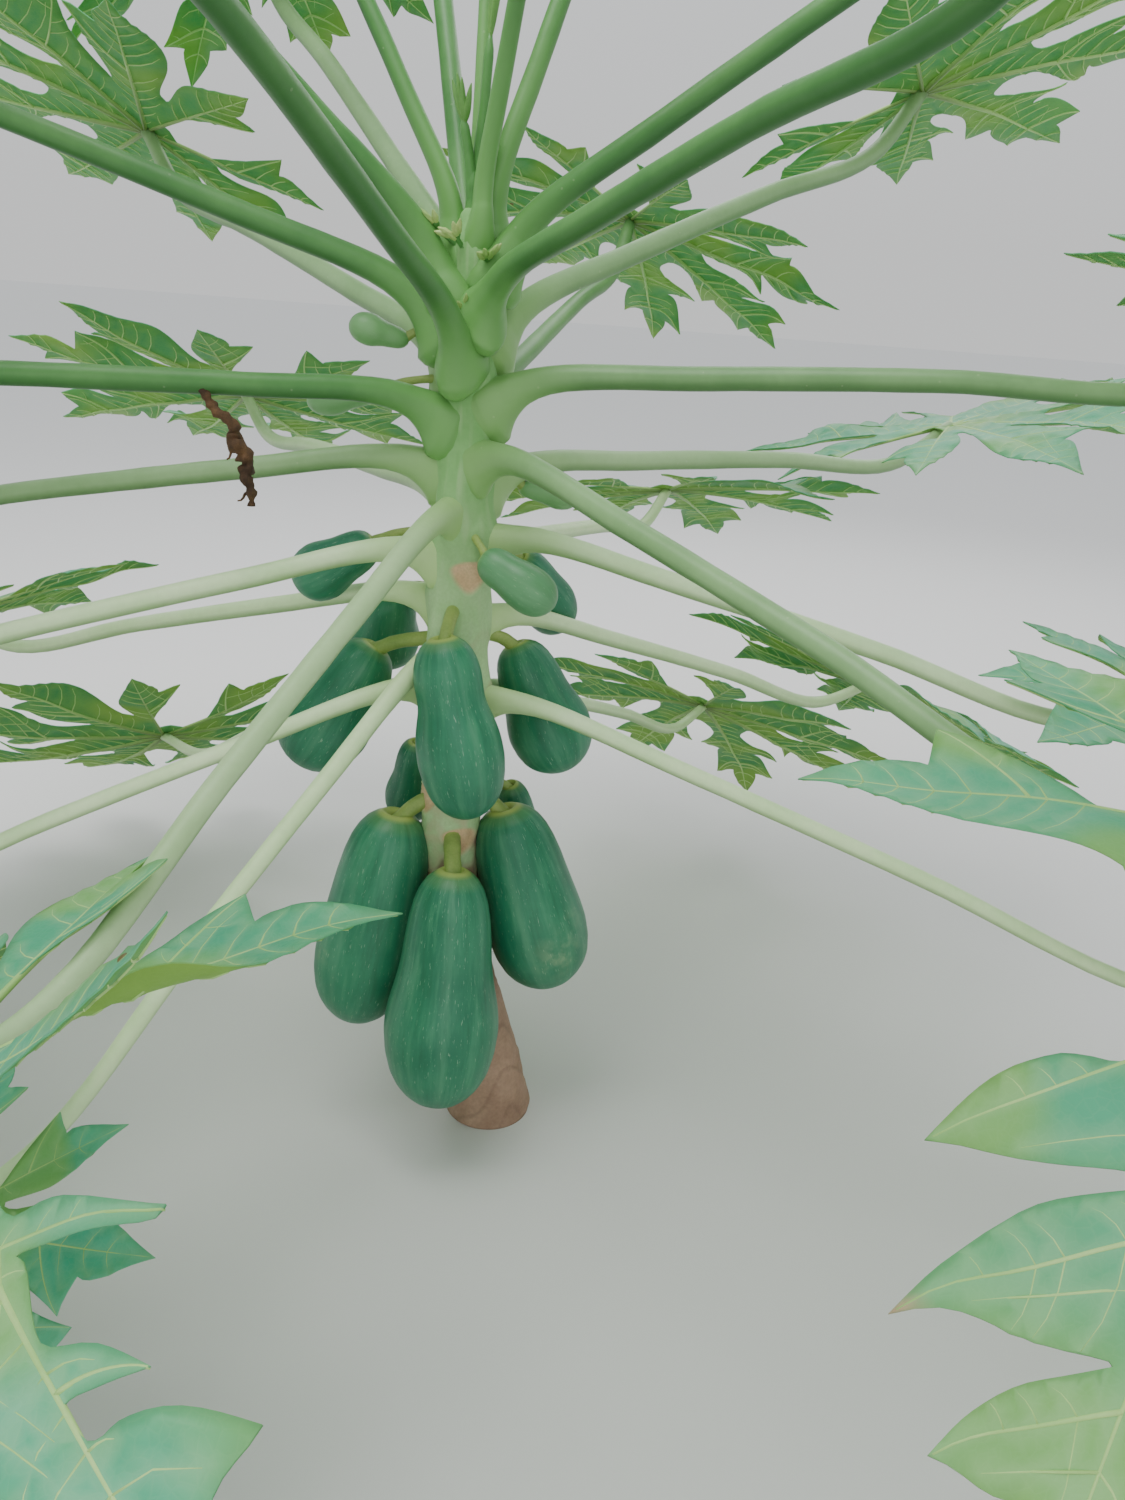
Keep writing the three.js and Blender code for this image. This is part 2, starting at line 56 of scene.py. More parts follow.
# Trunk
TRUNK_TOP = 825
FOOT_BEND_HEIGHT = 250
FOOT_BEND_SHIFT = -48
TRUNK_RADII = [
    (0, 41), (22, 37), (100, 32), (280, 27), (550, 24.5), (640, 22), (700, 20), (800, 14.5), (825, 9),
]
TRUNK_SIDES = 96
TRUNK_RINGS = 420
TRUNK_DOME = 9.0
# Root flare: how fast it fades upwards, and the count, turn and height of its lobes
FLARE_HEIGHT = 16
FLARE_LOBES = ((3, 0.8, 2.2), (5, 0.0, 1.6))
# Swelling of the bark under each leaf's foot
CUSHION_SWELL = 6.0
CUSHION_WIDTH = 15.0
CUSHION_HEIGHT = 22.0
CUSHION_DROP = 14.0
# Scars of fallen leaves, which narrow downwards inside a raised rim
LOWEST_SCAR = 150
SCAR_HALF_WIDTH = 17.5
SCAR_NARROWING = 0.35
SCAR_NARROWS_OVER = 30
SCAR_UPWARD = 8.5
SCAR_DOWNWARD = 20.0
SCAR_RIM_HEIGHT = 1.6
SCAR_RIM_WIDTH = 0.16
SCAR_HOLLOW = 0.9
# Corky bark with a frayed upper edge, and the slanting folds round its lower part
CORKY_EDGE = (230, 330)
CORKY_FRAYING = 28
CORKY_LUMPS = 0.4
FOLDED_EDGE = (150, 230)
FOLD_PITCH = 46.0
FOLD_LEAN = 0.5
FOLD_TURN = 0.9
FOLD_TILT = 1.6
FOLD_HEIGHT = 1.3
CREASE_DEPTH = 1.1
CREASE_WIDTH = 0.045
# Rings on the green bark, each sharp above and soft below
BARK_RINGS = (262, 300, 334, 366, 402, 441, 486, 532, 575)
RING_ABOVE = 3.5
RING_BELOW = 11
RING_WANDER = 5
RING_FRAYING = 4
RING_HEIGHT = 0.8
RING_TONE = 0.42
RINGS_FADE = (430, 530)
STREAK_HEIGHT = 0.3

# Leaf spiral: three turns in eight leaves, closer together towards the top
FIRST_DIRECTION = 73
DIVERGENCE = 135
LOWEST_NODE = 445
NODE_SPACING = 14.8
NODE_CROWDING = 0.045
OLDEST_SCAR = -29

# Sizes that change with a leaf's number, from the oldest, 0, to the youngest
STALK_LENGTHS = [(0, 600), (22, 610), (28, 520), (32, 270)]
STALK_RADII = [(0, 7.2), (12, 9), (20, 9.8), (27, 9.2), (32, 6)]
BLADE_REACHES = [(0, 285), (22, 300), (27, 240), (29, 180), (32, 70)]
YOUNGEST = 32

# Stalk
STALK_SIDES = 20
STALK_RINGS = 34
STALK_FOOT_SHARE = 0.16
STALK_FOOT_RINGS = 28
STALK_SIDEWAYS = [
    (0, 1.1), (0.02, 1.62), (0.045, 1.74), (0.07, 1.55), (0.1, 1.3), (0.15, 1.12), (0.28, 1), (0.86, 0.8),
    (1, 0.72),
]
STALK_UPWARD = [
    (0, 1.2), (0.02, 1.65), (0.045, 1.7), (0.07, 1.55), (0.1, 1.32), (0.15, 1.14), (0.28, 1), (0.86, 0.8),
    (1, 0.72),
]
# Broader feet on the upper stalks, how far a level stalk's underside runs down the trunk, and
# the way out from the trunk over which it does so
STALK_FLESHY = 0.35
STALK_RUN_DOWN = 22.0
STALK_RUN_OUT = 17.0
# Steep stalks bend into the trunk over the first part of their length and end lower inside it
STALK_BEND_LENGTH = 46.0
STALK_SINK = 16.0
STALK_LUMPS = 0.02
STALK_LUMP_SIZE = 40
BASE_DROP = 20
STALK_BOW = [(0.1, 0), (0.3, 3), (0.6, 4)]
NECK_SHARE = 0.86
NECK_LIFT = 40

# Blade. Down one side of a lobe, from its notch to its tip: a kind, then shares of the lobe's
# reach along the rib and aside from it
FULL_SIDE = [("tip", 0.66, 0.21), ("sinus", 0.63, 0.085), ("tip", 0.87, 0.15), ("sinus", 0.85, 0.06)]
SHORT_SIDE = [("tip", 0.71, 0.23), ("sinus", 0.72, 0.095)]
PLAIN_SIDE = [("belly", 0.58, 0.15)]
WIDE_SIDE = [
    ("curve", 0.447, 0.11), ("curve", 0.507, 0.216), ("curve", 0.572, 0.283), ("tip", 0.68, 0.342),
    ("curve", 0.627, 0.184), ("sinus", 0.606, 0.057),
    ("curve", 0.672, 0.178), ("curve", 0.766, 0.253), ("tip", 0.846, 0.302), ("curve", 0.793, 0.111),
    ("sinus", 0.78, 0.028),
    ("curve", 0.834, 0.115), ("curve", 0.901, 0.17), ("tip", 0.957, 0.2), ("sinus", 0.928, 0.072),
]
NEAR_SIDE = [
    ("curve", 0.41, 0.045), ("curve", 0.455, 0.098), ("curve", 0.53, 0.144), ("tip", 0.6, 0.192),
    ("curve", 0.55, 0.128), ("curve", 0.51, 0.078), ("sinus", 0.475, 0.032), ("curve", 0.6, 0.012),
    ("curve", 0.66, 0.06), ("tip", 0.74, 0.092), ("curve", 0.7, 0.038), ("sinus", 0.675, 0.002),
    ("curve", 0.73, 0.006), ("curve", 0.756, 0.042), ("curve", 0.794, 0.096), ("tip", 0.835, 0.14),
    ("curve", 0.855, 0.07), ("sinus", 0.9, 0.025), ("tip", 0.96, 0.07), ("sinus", 0.955, 0.02),
]
FRONT_LOBE = {"turn": 0, "reach": 1, "front": FULL_SIDE, "rear": FULL_SIDE}
SIDE_LOBES = [
    {"turn": 39, "reach": 0.98, "front": FULL_SIDE, "rear": FULL_SIDE},
    {"turn": 77, "reach": 0.92, "front": FULL_SIDE, "rear": SHORT_SIDE},
    {"turn": 113, "reach": 0.84, "front": SHORT_SIDE, "rear": PLAIN_SIDE},
    {"turn": 150, "reach": 0.66, "front": PLAIN_SIDE, "rear": SHORT_SIDE},
]
LONG_REAR_LOBE = dict(SIDE_LOBES[3], reach=0.78)
LONG_REAR_LOBES = SIDE_LOBES[:3] + [LONG_REAR_LOBE]
CURLED_LEFT_LOBES = [
    SIDE_LOBES[0],
    {"turn": 80, "reach": 1.06, "front": SHORT_SIDE, "rear": NEAR_SIDE},
    {"turn": 120, "reach": 0.65, "front": PLAIN_SIDE, "rear": PLAIN_SIDE, "curl": 0.6},
    LONG_REAR_LOBE,
]
BROAD_RIGHT_LOBES = [
    {"turn": 34, "reach": 0.98, "front": FULL_SIDE, "rear": FULL_SIDE},
    {"turn": 71, "reach": 1.05, "front": FULL_SIDE, "rear": WIDE_SIDE, "curl": -0.28},
    LONG_REAR_LOBE,
]
# How far an edge swells out where it leaves a point, as a share of the way to the next point
BULGES = {"sinus": 0.24, "belly": 0.08, "curve": 0.0}
NOTCH_BULGE = -0.07
TIP_BULGE = 0.015
TIP_BULGE_AT_NOTCH = -0.1
TIP_PULL = 0.4
ROUNDING = 0.36
NOTCH_SHARE = 0.36
REAR_NOTCH_SHARE = 0.09
BLADE_DROOP = 0.08
YOUNG_DROOP = 0.35
YOUNG_FROM = 24
LOBE_FOLD = 0.16
BLADE_NOD = 20
NOD_PER_RISE = -0.4
BLADE_THICKNESS = 0.9
BLADE_BACKING = 3.0
LOBE_ANGLE = 11.0
LEAST_SAG = -0.06
MOST_SAG = 0.08

# How the blade's edge and surface are drawn
EDGE_STEP = 6.5
GRID_STEP = 9.0
NEAR_GRID_STEP = 6.5
NEAR_LEAVES = (4, 12, 15)
VEIN_STEP = 17.0
VEIN_ANGLE = 66
VEIN_REACH = 0.86
SIDE_VEIN_STEP = 15.0
BRANCH_CLEARS = 0.03
BRANCH_SLANT = 0.9
VEIN_CLEARS = 3.5
BRANCH_POINTS = 11
VEIN_ORDER = ("rib", "branch", "vein", "fine")
VEIN_FINENESS = {"rib": 1.0, "branch": 1.3, "vein": 1.9, "fine": 2.6}
VEIN_RADII = {"branch": 1.35, "vein": 0.8, "fine": 0.55}
RIB_RADIUS = 2.7
RIB_REACH = 260
FULL_REACH = 290
RIB_SIDES = 6
GROOVE_DEPTH = 1.5
GROOVE_WIDTH = 5.0
WAVE_HEIGHT = 7.0
WAVE_SIZE = 95
VEIN_TINT_WIDTH = 3.0
RIM_TINT_WIDTH = 7.0
PATCH_SIZE = 120
YELLOW_SIZE = 0.16
DRY_SIZE = 0.018

# What sets each leaf apart. Its stalk: swing aside from the spiral, rise over level, lift from its
# node, length, and paleness where its tone isn't the one of its age. Its blade: turn, nod and roll,
# reach, droop, its own lobes, and the places of yellow and dry spots as shares of the reach
LEAVES = {
    0: {"swing": -12, "rise": -20.5, "nod": 34},
    1: {"swing": -3, "rise": -19},
    2: {"swing": 0, "rise": -15.2, "lift": -22, "length": 720},
    3: {"swing": 18, "rise": -26.5, "lift": -35, "nod": 36, "roll": 12, "droop": -0.12},
    4: {"swing": -18.6, "rise": -36.8, "length": 590, "nod": 35, "reach": 205},
    5: {"swing": 11, "rise": -19},
    6: {"swing": -3, "rise": -16},
    8: {"swing": -3, "rise": -6, "nod": 12, "roll": -10},
    9: {"swing": -3, "rise": -12},
    10: {"swing": 9, "rise": -13, "turn": -20, "nod": 14, "reach": 262},
    11: {"swing": 4, "rise": -2, "nod": 22, "roll": 12, "droop": -0.05},
    12: {"swing": -3, "rise": -24.5, "length": 616, "turn": -17, "nod": 24, "roll": 18, "reach": 305,
         "droop": 0.2, "left": CURLED_LEFT_LOBES, "right": LONG_REAR_LOBES},
    13: {"swing": 8, "rise": -1, "nod": -12, "roll": -9},
    14: {"swing": 20, "rise": -10},
    15: {"swing": 14, "rise": -13, "length": 656, "turn": 6, "nod": 14, "roll": 8, "reach": 280,
         "droop": 0.2, "left": LONG_REAR_LOBES, "right": BROAD_RIGHT_LOBES,
         "yellow": ((0.225, -0.92), (0.18, -0.94)), "dry": ((0.0, -0.94),)},
    16: {"swing": 4, "rise": 13.5, "nod": 22, "roll": 12},
    17: {"swing": -4, "rise": 0},
    18: {"swing": 4, "rise": 4, "paleness": 0.515},
    19: {"swing": 15, "rise": 14, "turn": 32, "nod": -7, "roll": 25, "droop": 0, "paleness": 0.56},
    20: {"swing": 3, "rise": 23},
    21: {"swing": 15, "rise": 20, "turn": -35, "nod": -16, "roll": -18, "droop": 0, "paleness": 0.55},
    22: {"swing": 27, "rise": 17},
    23: {"swing": 2, "rise": 15},
    24: {"swing": 32, "rise": 46, "lift": -7},
    25: {"swing": -7, "rise": 41, "lift": -21, "nod": -2, "roll": 12},
    26: {"swing": 0, "rise": 34, "lift": -14},
    27: {"swing": 8, "rise": 32, "lift": -42, "roll": -4, "paleness": 0.55},
    29: {"swing": 9, "rise": 68, "lift": -42},
    30: {"swing": -6, "rise": 58, "lift": -56},
    31: {"swing": -2, "rise": 65, "lift": -56},
    32: {"swing": 20, "rise": 76, "lift": -63},
}

# Fruits: top and tip, width, and how wide the shoulder is. Some have pale scuffs (share of the way
# up from the tip, direction, size), a waist above the middle, or a skin as pale as a young one's
FRUITS = {
    "fruit_low_front": {"top": (-38, -60, 289), "tip": (-42, -94, 67), "width": 102, "shoulder": 0.84},
    "fruit_low_left": {
        "top": (-96, -12, 318), "tip": (-132, -30, 108), "width": 94, "shoulder": 1,
        "scuffs": ((0.36, 215, 0.05),)},
    "fruit_low_right": {
        "top": (0, -1, 326), "tip": (56, -9, 150), "width": 93, "shoulder": 0.95,
        "scuffs": ((0.26, 300, 0.1), (0.4, 330, 0.06))},
    "fruit_low_behind": {"top": (2, 48, 330), "tip": (22, 82, 215), "width": 54, "shoulder": 0.8},
    "fruit_low_hidden": {"top": (-88, 44, 367), "tip": (-98, 72, 275), "width": 48, "shoulder": 0.8},
    "fruit_middle_front": {
        "top": (-56, -58, 498), "tip": (-25, -66, 343), "width": 74, "shoulder": 0.95, "waist": 0.12},
    "fruit_middle_left": {"top": (-123, 23, 463), "tip": (-189, 7, 351), "width": 83, "shoulder": 0.85},
    "fruit_middle_right": {"top": (0, 36, 471), "tip": (54, 28, 356), "width": 77, "shoulder": 0.85},
    "fruit_middle_behind": {"top": (-118, 80, 502), "tip": (-133, 112, 422), "width": 68, "shoulder": 0.85},
    "fruit_upper_left": {"top": (-124, 13, 558), "tip": (-190, 5, 516), "width": 51, "shoulder": 0.85},
    "fruit_upper_front": {
        "top": (-28, -36, 562), "tip": (34, -52, 529), "width": 39, "shoulder": 1, "waist": 0.06,
        "youth": 0.5},
    "fruit_upper_right": {"top": (-2, 67, 543), "tip": (39, 117, 468), "width": 52, "shoulder": 0.9},
    "fruit_young_right": {"top": (-4, 30, 610), "tip": (46, 52, 600), "width": 24, "shoulder": 0.8},
    "fruit_young_left": {"top": (-98, 4, 722), "tip": (-142, -12, 733), "width": 25, "shoulder": 0.8},
    "fruit_shaded_left": {"top": (-122, 18, 680), "tip": (-186, 40, 666), "width": 27, "shoulder": 0.8},
}
YOUNG_FRUIT_WIDTH = 35
FRUIT_PROFILE = [
    (0, 0.03), (0.006, 0.13), (0.02, 0.32), (0.04, 0.47), (0.07, 0.62), (0.11, 0.76), (0.16, 0.87),
    (0.24, 0.96), (0.33, 1), (0.45, 0.985), (0.58, 0.95), (0.7, 0.9), (0.8, 0.835), (0.87, 0.76),
    (0.92, 0.67), (0.96, 0.55), (0.985, 0.42), (1, 0.3),
]
COLLAR = [(1.004, 0.27), (1.003, 0.23), (0.994, 0.19), (0.982, 0.14), (0.972, 0.08), (0.968, 0.03)]
SHOULDER_FROM = 0.35
SHOULDER_TO = 0.65
WAIST_PLACE = 0.66
WAIST_LENGTH = 0.12
FRUIT_SIDES = 72
FRUIT_RINGS = 64
FRUIT_RIDGES = 5
RIDGE_HEIGHT = 0.018
GROOVE_SHARE = 0.16
FRUIT_LUMPS = 0.016
SCUFF_SPREAD = 260
SKIN_PATTERN_SIZE = 60
FRUIT_STALK_SIDES = 14
FRUIT_STALK_RINGS = 22
FRUIT_STALK_RISE = 16
FRUIT_STALK_SHARE = 0.075
FRUIT_STALK_LEAST = 3.2
FRUIT_STALK_KNEE = 0.75
FRUIT_STALK_DEPTH = 0.08

# Flower clusters
FLOWERS = {
    "flowers_1": (205, 786, 44),
    "flowers_2": (300, 768, 36),
    "flowers_3": (325, 758, 34),
    "flowers_4": (240, 784, 30),
    "flowers_5": (262, 733, 30),
}
FLOWER_RISE = 35
FLOWER_STALK_SIDES = 10
FLOWER_STALK_RINGS = 12
FLOWER_STALK_RADIUS = 1.9
FLOWER_SAG = np.array([0, 0, -2.0])
FLOWER_AGE = 0.2
BUD_LENGTH = 15
BUD_RADIUS = 2.7
BUD_TURNS = (-64, -38, -12, 16, 45)
BUD_RISE_PER_TURN = 1 / 3
BUD_PLEATS = 5
BRACT_TURNS = (-75, 20)
# Buds and folded leaves
SPINDLE_SIDES = 16
SPINDLE_RINGS = 22
SPINDLE_LEAST = 0.35
PLEAT_DEPTH = 0.16
PLEAT_TWIST = 1.6

# Growing tip: direction, lean, length and radius of each folded young leaf
HEART_LEAVES = ((20, 3, 180, 7), (220, 14, 90, 7), (330, 14, 62, 6))
HEART_SIDES = 14
HEART_RINGS = 26
HEART_STALK_SHARE = 0.62
HEART_DEPTH = 14
HEART_PLEATS = 3
HEART_LOBE_TURN = 38
HEART_LOBE_LEAN = 5

# Dried stem: the leaf that it hangs from, its place along that leaf's stalk, its size and its twigs
DRIED_STEM = {"leaf": 17, "share": 0.44, "aside": 45, "drop": 88, "end_radius": 3.2, "bulge": 4.2}
DRIED_SIDES = 14
DRIED_RINGS = 60
TWIG_PLACES = (0.3, 0.42, 0.55, 0.66, 0.78, 0.9)
TWIG_SIDES = 8
TWIG_RINGS = 8


def between(table, where):
    """Value between the pairs of a rising table of (where, value)."""
    return np.interp(where, [pair[0] for pair in table], [pair[1] for pair in table])


def heading(direction, rise):
    level = math.cos(math.radians(rise))
    turn = math.radians(direction)
    return np.array([level * math.cos(turn), level * math.sin(turn), math.sin(math.radians(rise))])


def unit(vectors):
    vectors = np.asarray(vectors, float)
    return vectors / np.maximum(np.linalg.norm(vectors, axis=-1, keepdims=True), 1e-12)


def smoothstep(low, high, where):
    share = np.clip((np.asarray(where, float) - low) / (high - low), 0, 1)
    return share * share * (3 - 2 * share)


def bell(distance, width):
    """1 at no distance, and softly less the further away."""
    return np.exp(-(distance / width) ** 2)


def soft_waves(points, size, seed, count=7):
    """Smooth values of about -1 to 1 over points, whose bumps are about the given size across."""
    points = np.asarray(points, float)
    random = np.random.default_rng(seed)
    total = np.zeros(len(points))
    for _ in range(count):
        way = unit(random.normal(size=points.shape[1]))
        pitch = size * random.uniform(0.7, 1.5)
        total += np.sin(points @ way * (2 * math.pi / pitch) + random.uniform(0, 2 * math.pi))
    return total / math.sqrt(count)


class Build:
    """Vertices, faces, material numbers and named values of one piece, gathered part by part."""

    def __init__(self):
        self.points, self.faces, self.kinds, self.values = [], [], [], {}
        self.count = 0

    def add(self, points, faces, kind=0, **values):
        points = np.asarray(points, float)
        self.points.append(points)
        self.faces.extend(tuple(int(k) + self.count for k in face) for face in faces)
        self.kinds.extend([kind] * len(faces))
        for name in set(self.values) | set(values):
            column = self.values.setdefault(name, [np.zeros(self.count)])
            given = values.get(name, 0.0)
            column.append(np.broadcast_to(np.asarray(given, float), (len(points),)))
        self.count += len(points)

    def piece(self, name, materials, nodes):
        """The finished object, in metres, riding on the plant's one body."""
        mesh = bpy.data.meshes.new(name)
        mesh.from_pydata((np.concatenate(self.points) * MM).tolist(), [], self.faces)
        for material in materials:
            mesh.materials.append(material)
        mesh.polygons.foreach_set("material_index", self.kinds)
        mesh.polygons.foreach_set("use_smooth", [True] * len(self.faces))
        for title, column in self.values.items():
            layer = mesh.attributes.new(title, "FLOAT", "POINT")
            layer.data.foreach_set("value", np.concatenate(column).astype(np.float32))
        mesh.validate(clean_customdata=False)
        mesh.update()
        thing = bpy.data.objects.new(name, mesh)
        bpy.context.scene.collection.objects.link(thing)
        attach(thing, "root")
        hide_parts(*nodes)
        return thing


def ring_faces(rings, sides, start=0, capped=True):
    """Faces of a tube whose vertices run ring by ring, with its two ends closed."""
    faces = []
    for ring in range(rings - 1):
        for side in range(sides):
            after = (side + 1) % sides
            low, high = start + ring * sides, start + (ring + 1) * sides
            faces.append((low + side, low + after, high + after, high + side))
    if capped:
        faces.append(tuple(start + side for side in reversed(range(sides))))
        faces.append(tuple(start + (rings - 1) * sides + side for side in range(sides)))
    return faces


def tube(path, aside, radius_aside, radius_up, sides, radius_down=None):
    """Closed tube along a path of points, and its faces. Each ring is an oval across the path."""
    path = np.asarray(path, float)
    rings = len(path)
    along = unit(np.gradient(path, axis=0))
    aside = unit(np.broadcast_to(aside, path.shape) - along * np.sum(aside * along, axis=1, keepdims=True))
    up = np.cross(along, aside)
    up *= np.where(up[:, 2:3].mean() < 0, -1, 1)
    angle = np.linspace(0, 2 * math.pi, sides, endpoint=False)
    radius_aside = np.broadcast_to(radius_aside, (rings,))[:, None]
    radius_up = np.broadcast_to(radius_up, (rings,))[:, None]
    radius_down = radius_up if radius_down is None else np.broadcast_to(radius_down, (rings,))[:, None]
    rise = np.sin(angle)[None, :]
    out = np.cos(angle)[None, :] * radius_aside
    lift = np.where(rise >= 0, rise * radius_up, rise * radius_down)
    points = path[:, None, :] + aside[:, None, :] * out[..., None] + up[:, None, :] * lift[..., None]
    faces = ring_faces(rings, sides)
    if np.mean(np.sum(np.cross(aside, up) * along, axis=1)) < 0:
        faces = [tuple(reversed(face)) for face in faces]
    return points.reshape(-1, 3), faces


def spread(path, spots, factors):
    """A tube's spots moved away from its path, or towards it, by a factor for each."""
    axis = np.repeat(path, len(spots) // len(path), axis=0)
    return axis + (spots - axis) * factors[:, None]


def through(points, shares):
    """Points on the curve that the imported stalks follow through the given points."""
    points = np.asarray(points, float)
    ends = np.vstack([2 * points[0] - points[1], points, 2 * points[-1] - points[-2]])
    result = []
    for share in shares:
        place = share * (len(points) - 1)
        step = min(int(place), len(points) - 2)
        w = place - step
        p0, p1, p2, p3 = ends[step:step + 4]
        d0, d1, d2 = (max(np.linalg.norm(b - a), 1e-4) ** 0.5 for a, b in ((p0, p1), (p1, p2), (p2, p3)))
        m1 = ((p1 - p0) / d0 - (p2 - p0) / (d0 + d1) + (p2 - p1) / d1) * d1
        m2 = ((p2 - p1) / d1 - (p3 - p1) / (d1 + d2) + (p3 - p2) / d2) * d1
        bend = -3 * p1 + 3 * p2 - 2 * m1 - m2
        twist = 2 * p1 - 2 * p2 + m1 + m2
        result.append(p1 + m1 * w + bend * w * w + twist * w ** 3)
    return np.array(result)


def curve_of_three(start, knee, end, count):
    share = np.linspace(0, 1, count)[:, None]
    return (1 - share) ** 2 * start + 2 * share * (1 - share) * knee + share ** 2 * end


def trunk_centre(height):
    height = np.asarray(height, float)
    shift = FOOT_BEND_SHIFT * smoothstep(0, FOOT_BEND_HEIGHT, height)
    return np.stack([shift, np.zeros_like(height), height], axis=-1)


def node_height(number):
    return LOWEST_NODE + NODE_SPACING * number - NODE_CROWDING * number * number


def stalk_length(number):
    return LEAVES[number].get("length", between(STALK_LENGTHS, number))


def stalk_frame(number):
    """Foot, direction and the points of a leaf's stalk."""
    leaf = LEAVES[number]
    direction = FIRST_DIRECTION + DIVERGENCE * number + leaf["swing"]
    foot = trunk_centre(node_height(number) + leaf.get("lift", 0))
    length = stalk_length(number)
    outward = heading(direction, leaf["rise"])
    upward = heading(direction, leaf["rise"] + 90)
    neck = NECK_LIFT * math.cos(math.radians(leaf["rise"]))
    marks = [(0, -BASE_DROP)] + [(length * along, above) for along, above in STALK_BOW]
    marks += [(length * NECK_SHARE, 0), (length, neck)]
    points = [foot + outward * along + upward * above for along, above in marks]
    return foot, direction, points


def age_of(number):
    """From 1 on the oldest leaf to 0 on the youngest."""
    return 1 - number / YOUNGEST


def add_stalk(build, number, kind):
    """Stalk from inside the trunk to the blade, whose underside runs down the trunk at its foot."""
    foot, direction, points = stalk_frame(number)
    shares = np.concatenate([np.linspace(0, STALK_FOOT_SHARE, STALK_FOOT_RINGS, endpoint=False),
                             np.linspace(STALK_FOOT_SHARE, 1, STALK_RINGS)])
    path = through(points, shares)
    leaf = LEAVES[number]
    rise = math.radians(leaf["rise"])
    bend = 1 - smoothstep(0, STALK_BEND_LENGTH, shares * stalk_length(number))
    bend = bend * max(math.sin(rise), 0)
    path[:, :2] += (foot[:2] - path[:, :2]) * bend[:, None]
    path[:, 2] -= STALK_SINK * bend
    out = np.linalg.norm((path - foot)[:, :2], axis=1) - between(TRUNK_RADII, path[:, 2])
    fleshy = 1 + STALK_FLESHY * smoothstep(10, 24, number) * (1 - smoothstep(0.02, 0.16, shares))
    radius = between(STALK_RADII, number)
    sideways = radius * between(STALK_SIDEWAYS, shares) * fleshy
    upward = radius * between(STALK_UPWARD, shares)
    run_down = STALK_RUN_DOWN * math.cos(rise) ** 2 * np.exp(-np.maximum(out, 0) / STALK_RUN_OUT)
    spots, faces = tube(path, heading(direction + 90, 0), sideways, upward, STALK_SIDES, upward + run_down)
    spots = spread(path, spots, 1 + STALK_LUMPS * soft_waves(spots, STALK_LUMP_SIZE, number))
    share = np.repeat(np.maximum(out, 0) / 600, STALK_SIDES)
    angle = np.linspace(0, 2 * math.pi, STALK_SIDES, endpoint=False)
    # Painted shade on the stalk's lower side, fading in just out from the trunk
    below = np.tile(np.clip(-np.sin(angle), 0, 1), len(path)) * smoothstep(0.02, 0.14, share)
    build.add(spots, faces, kind, share=share, below=below, age=leaf.get("paleness", age_of(number)))


def lobes_round(leaf):
    """A blade's lobes from the rear on its right round to the rear on its left."""
    front = dict(FRONT_LOBE, before=FRONT_LOBE["rear"], after=FRONT_LOBE["front"])
    right = [dict(lobe, turn=-lobe["turn"], before=lobe["rear"], after=lobe["front"])
             for lobe in leaf.get("right", SIDE_LOBES)]
    left = [dict(lobe, before=lobe["front"], after=lobe["rear"]) for lobe in leaf.get("left", SIDE_LOBES)]
    return right[::-1] + [front] + left


def turned(along, aside, turn):
    angle = math.radians(turn)
    return np.array([
        along * math.cos(angle) - aside * math.sin(angle),
        along * math.sin(angle) + aside * math.cos(angle),
    ])


def key_points(lobes, reach):
    """The blade's tips, sinuses and notches in order round its edge, and each lobe's share of them."""
    keys = [("notch", turned(reach * REAR_NOTCH_SHARE, 0, 180))]
    fields = []
    for place, lobe in enumerate(lobes):
        own = lobe["reach"] * reach
        first = len(keys) - 1
        for kind, along, aside in lobe["before"]:
            keys.append((kind, turned(own * along, -own * aside, lobe["turn"])))
        keys.append(("tip", turned(own, 0, lobe["turn"])))
        for kind, along, aside in reversed(lobe["after"]):
            keys.append((kind, turned(own * along, own * aside, lobe["turn"])))
        if place + 1 < len(lobes):
            after = lobes[place + 1]
            radius = (lobe["reach"] + after["reach"]) / 2 * reach * NOTCH_SHARE
            keys.append(("notch", turned(radius, 0, (lobe["turn"] + after["turn"]) / 2)))
        fields.append((lobe, first, len(keys)))
    return keys, fields


def edge_points(keys):
    """The blade's edge as a run of points, and where each key point lies in it."""
    count = len(keys)
    spots = [spot for _, spot in keys]
    edge = []
    places = []
    for k in range(count):
        kind, start = keys[k]
        next_kind, end = keys[(k + 1) % count]
        chord = end - start
        length = np.linalg.norm(chord)
        out = np.array([chord[1], -chord[0]]) / length
        hollow = "notch" in (kind, next_kind)
        controls = []
        for role, spot, near, far, sign in (
            (kind, start, spots[k - 1], end, 1),
            (next_kind, end, start, spots[(k + 2) % count], -1),
        ):
            if role == "tip":
                bulge = TIP_BULGE_AT_NOTCH if hollow else TIP_BULGE
                controls.append(spot + chord * (TIP_PULL * sign) + out * (bulge * length))
            else:
                round_off = min(length, np.linalg.norm((far if sign < 0 else near) - spot)) * ROUNDING
                bulge = NOTCH_BULGE if hollow else BULGES[role]
                controls.append(spot + unit(far - near) * (sign * round_off) + out * (bulge * length))
        steps = max(4, int(round(length / EDGE_STEP)))
        share = np.linspace(0, 1, steps, endpoint=False)[:, None]
        run = ((1 - share) ** 3 * start + 3 * share * (1 - share) ** 2 * controls[0]
               + 3 * share ** 2 * (1 - share) * controls[1] + share ** 3 * end)
        places.append(len(edge))
        edge.extend(run)
    places.append(len(edge))
    return np.array(edge), places


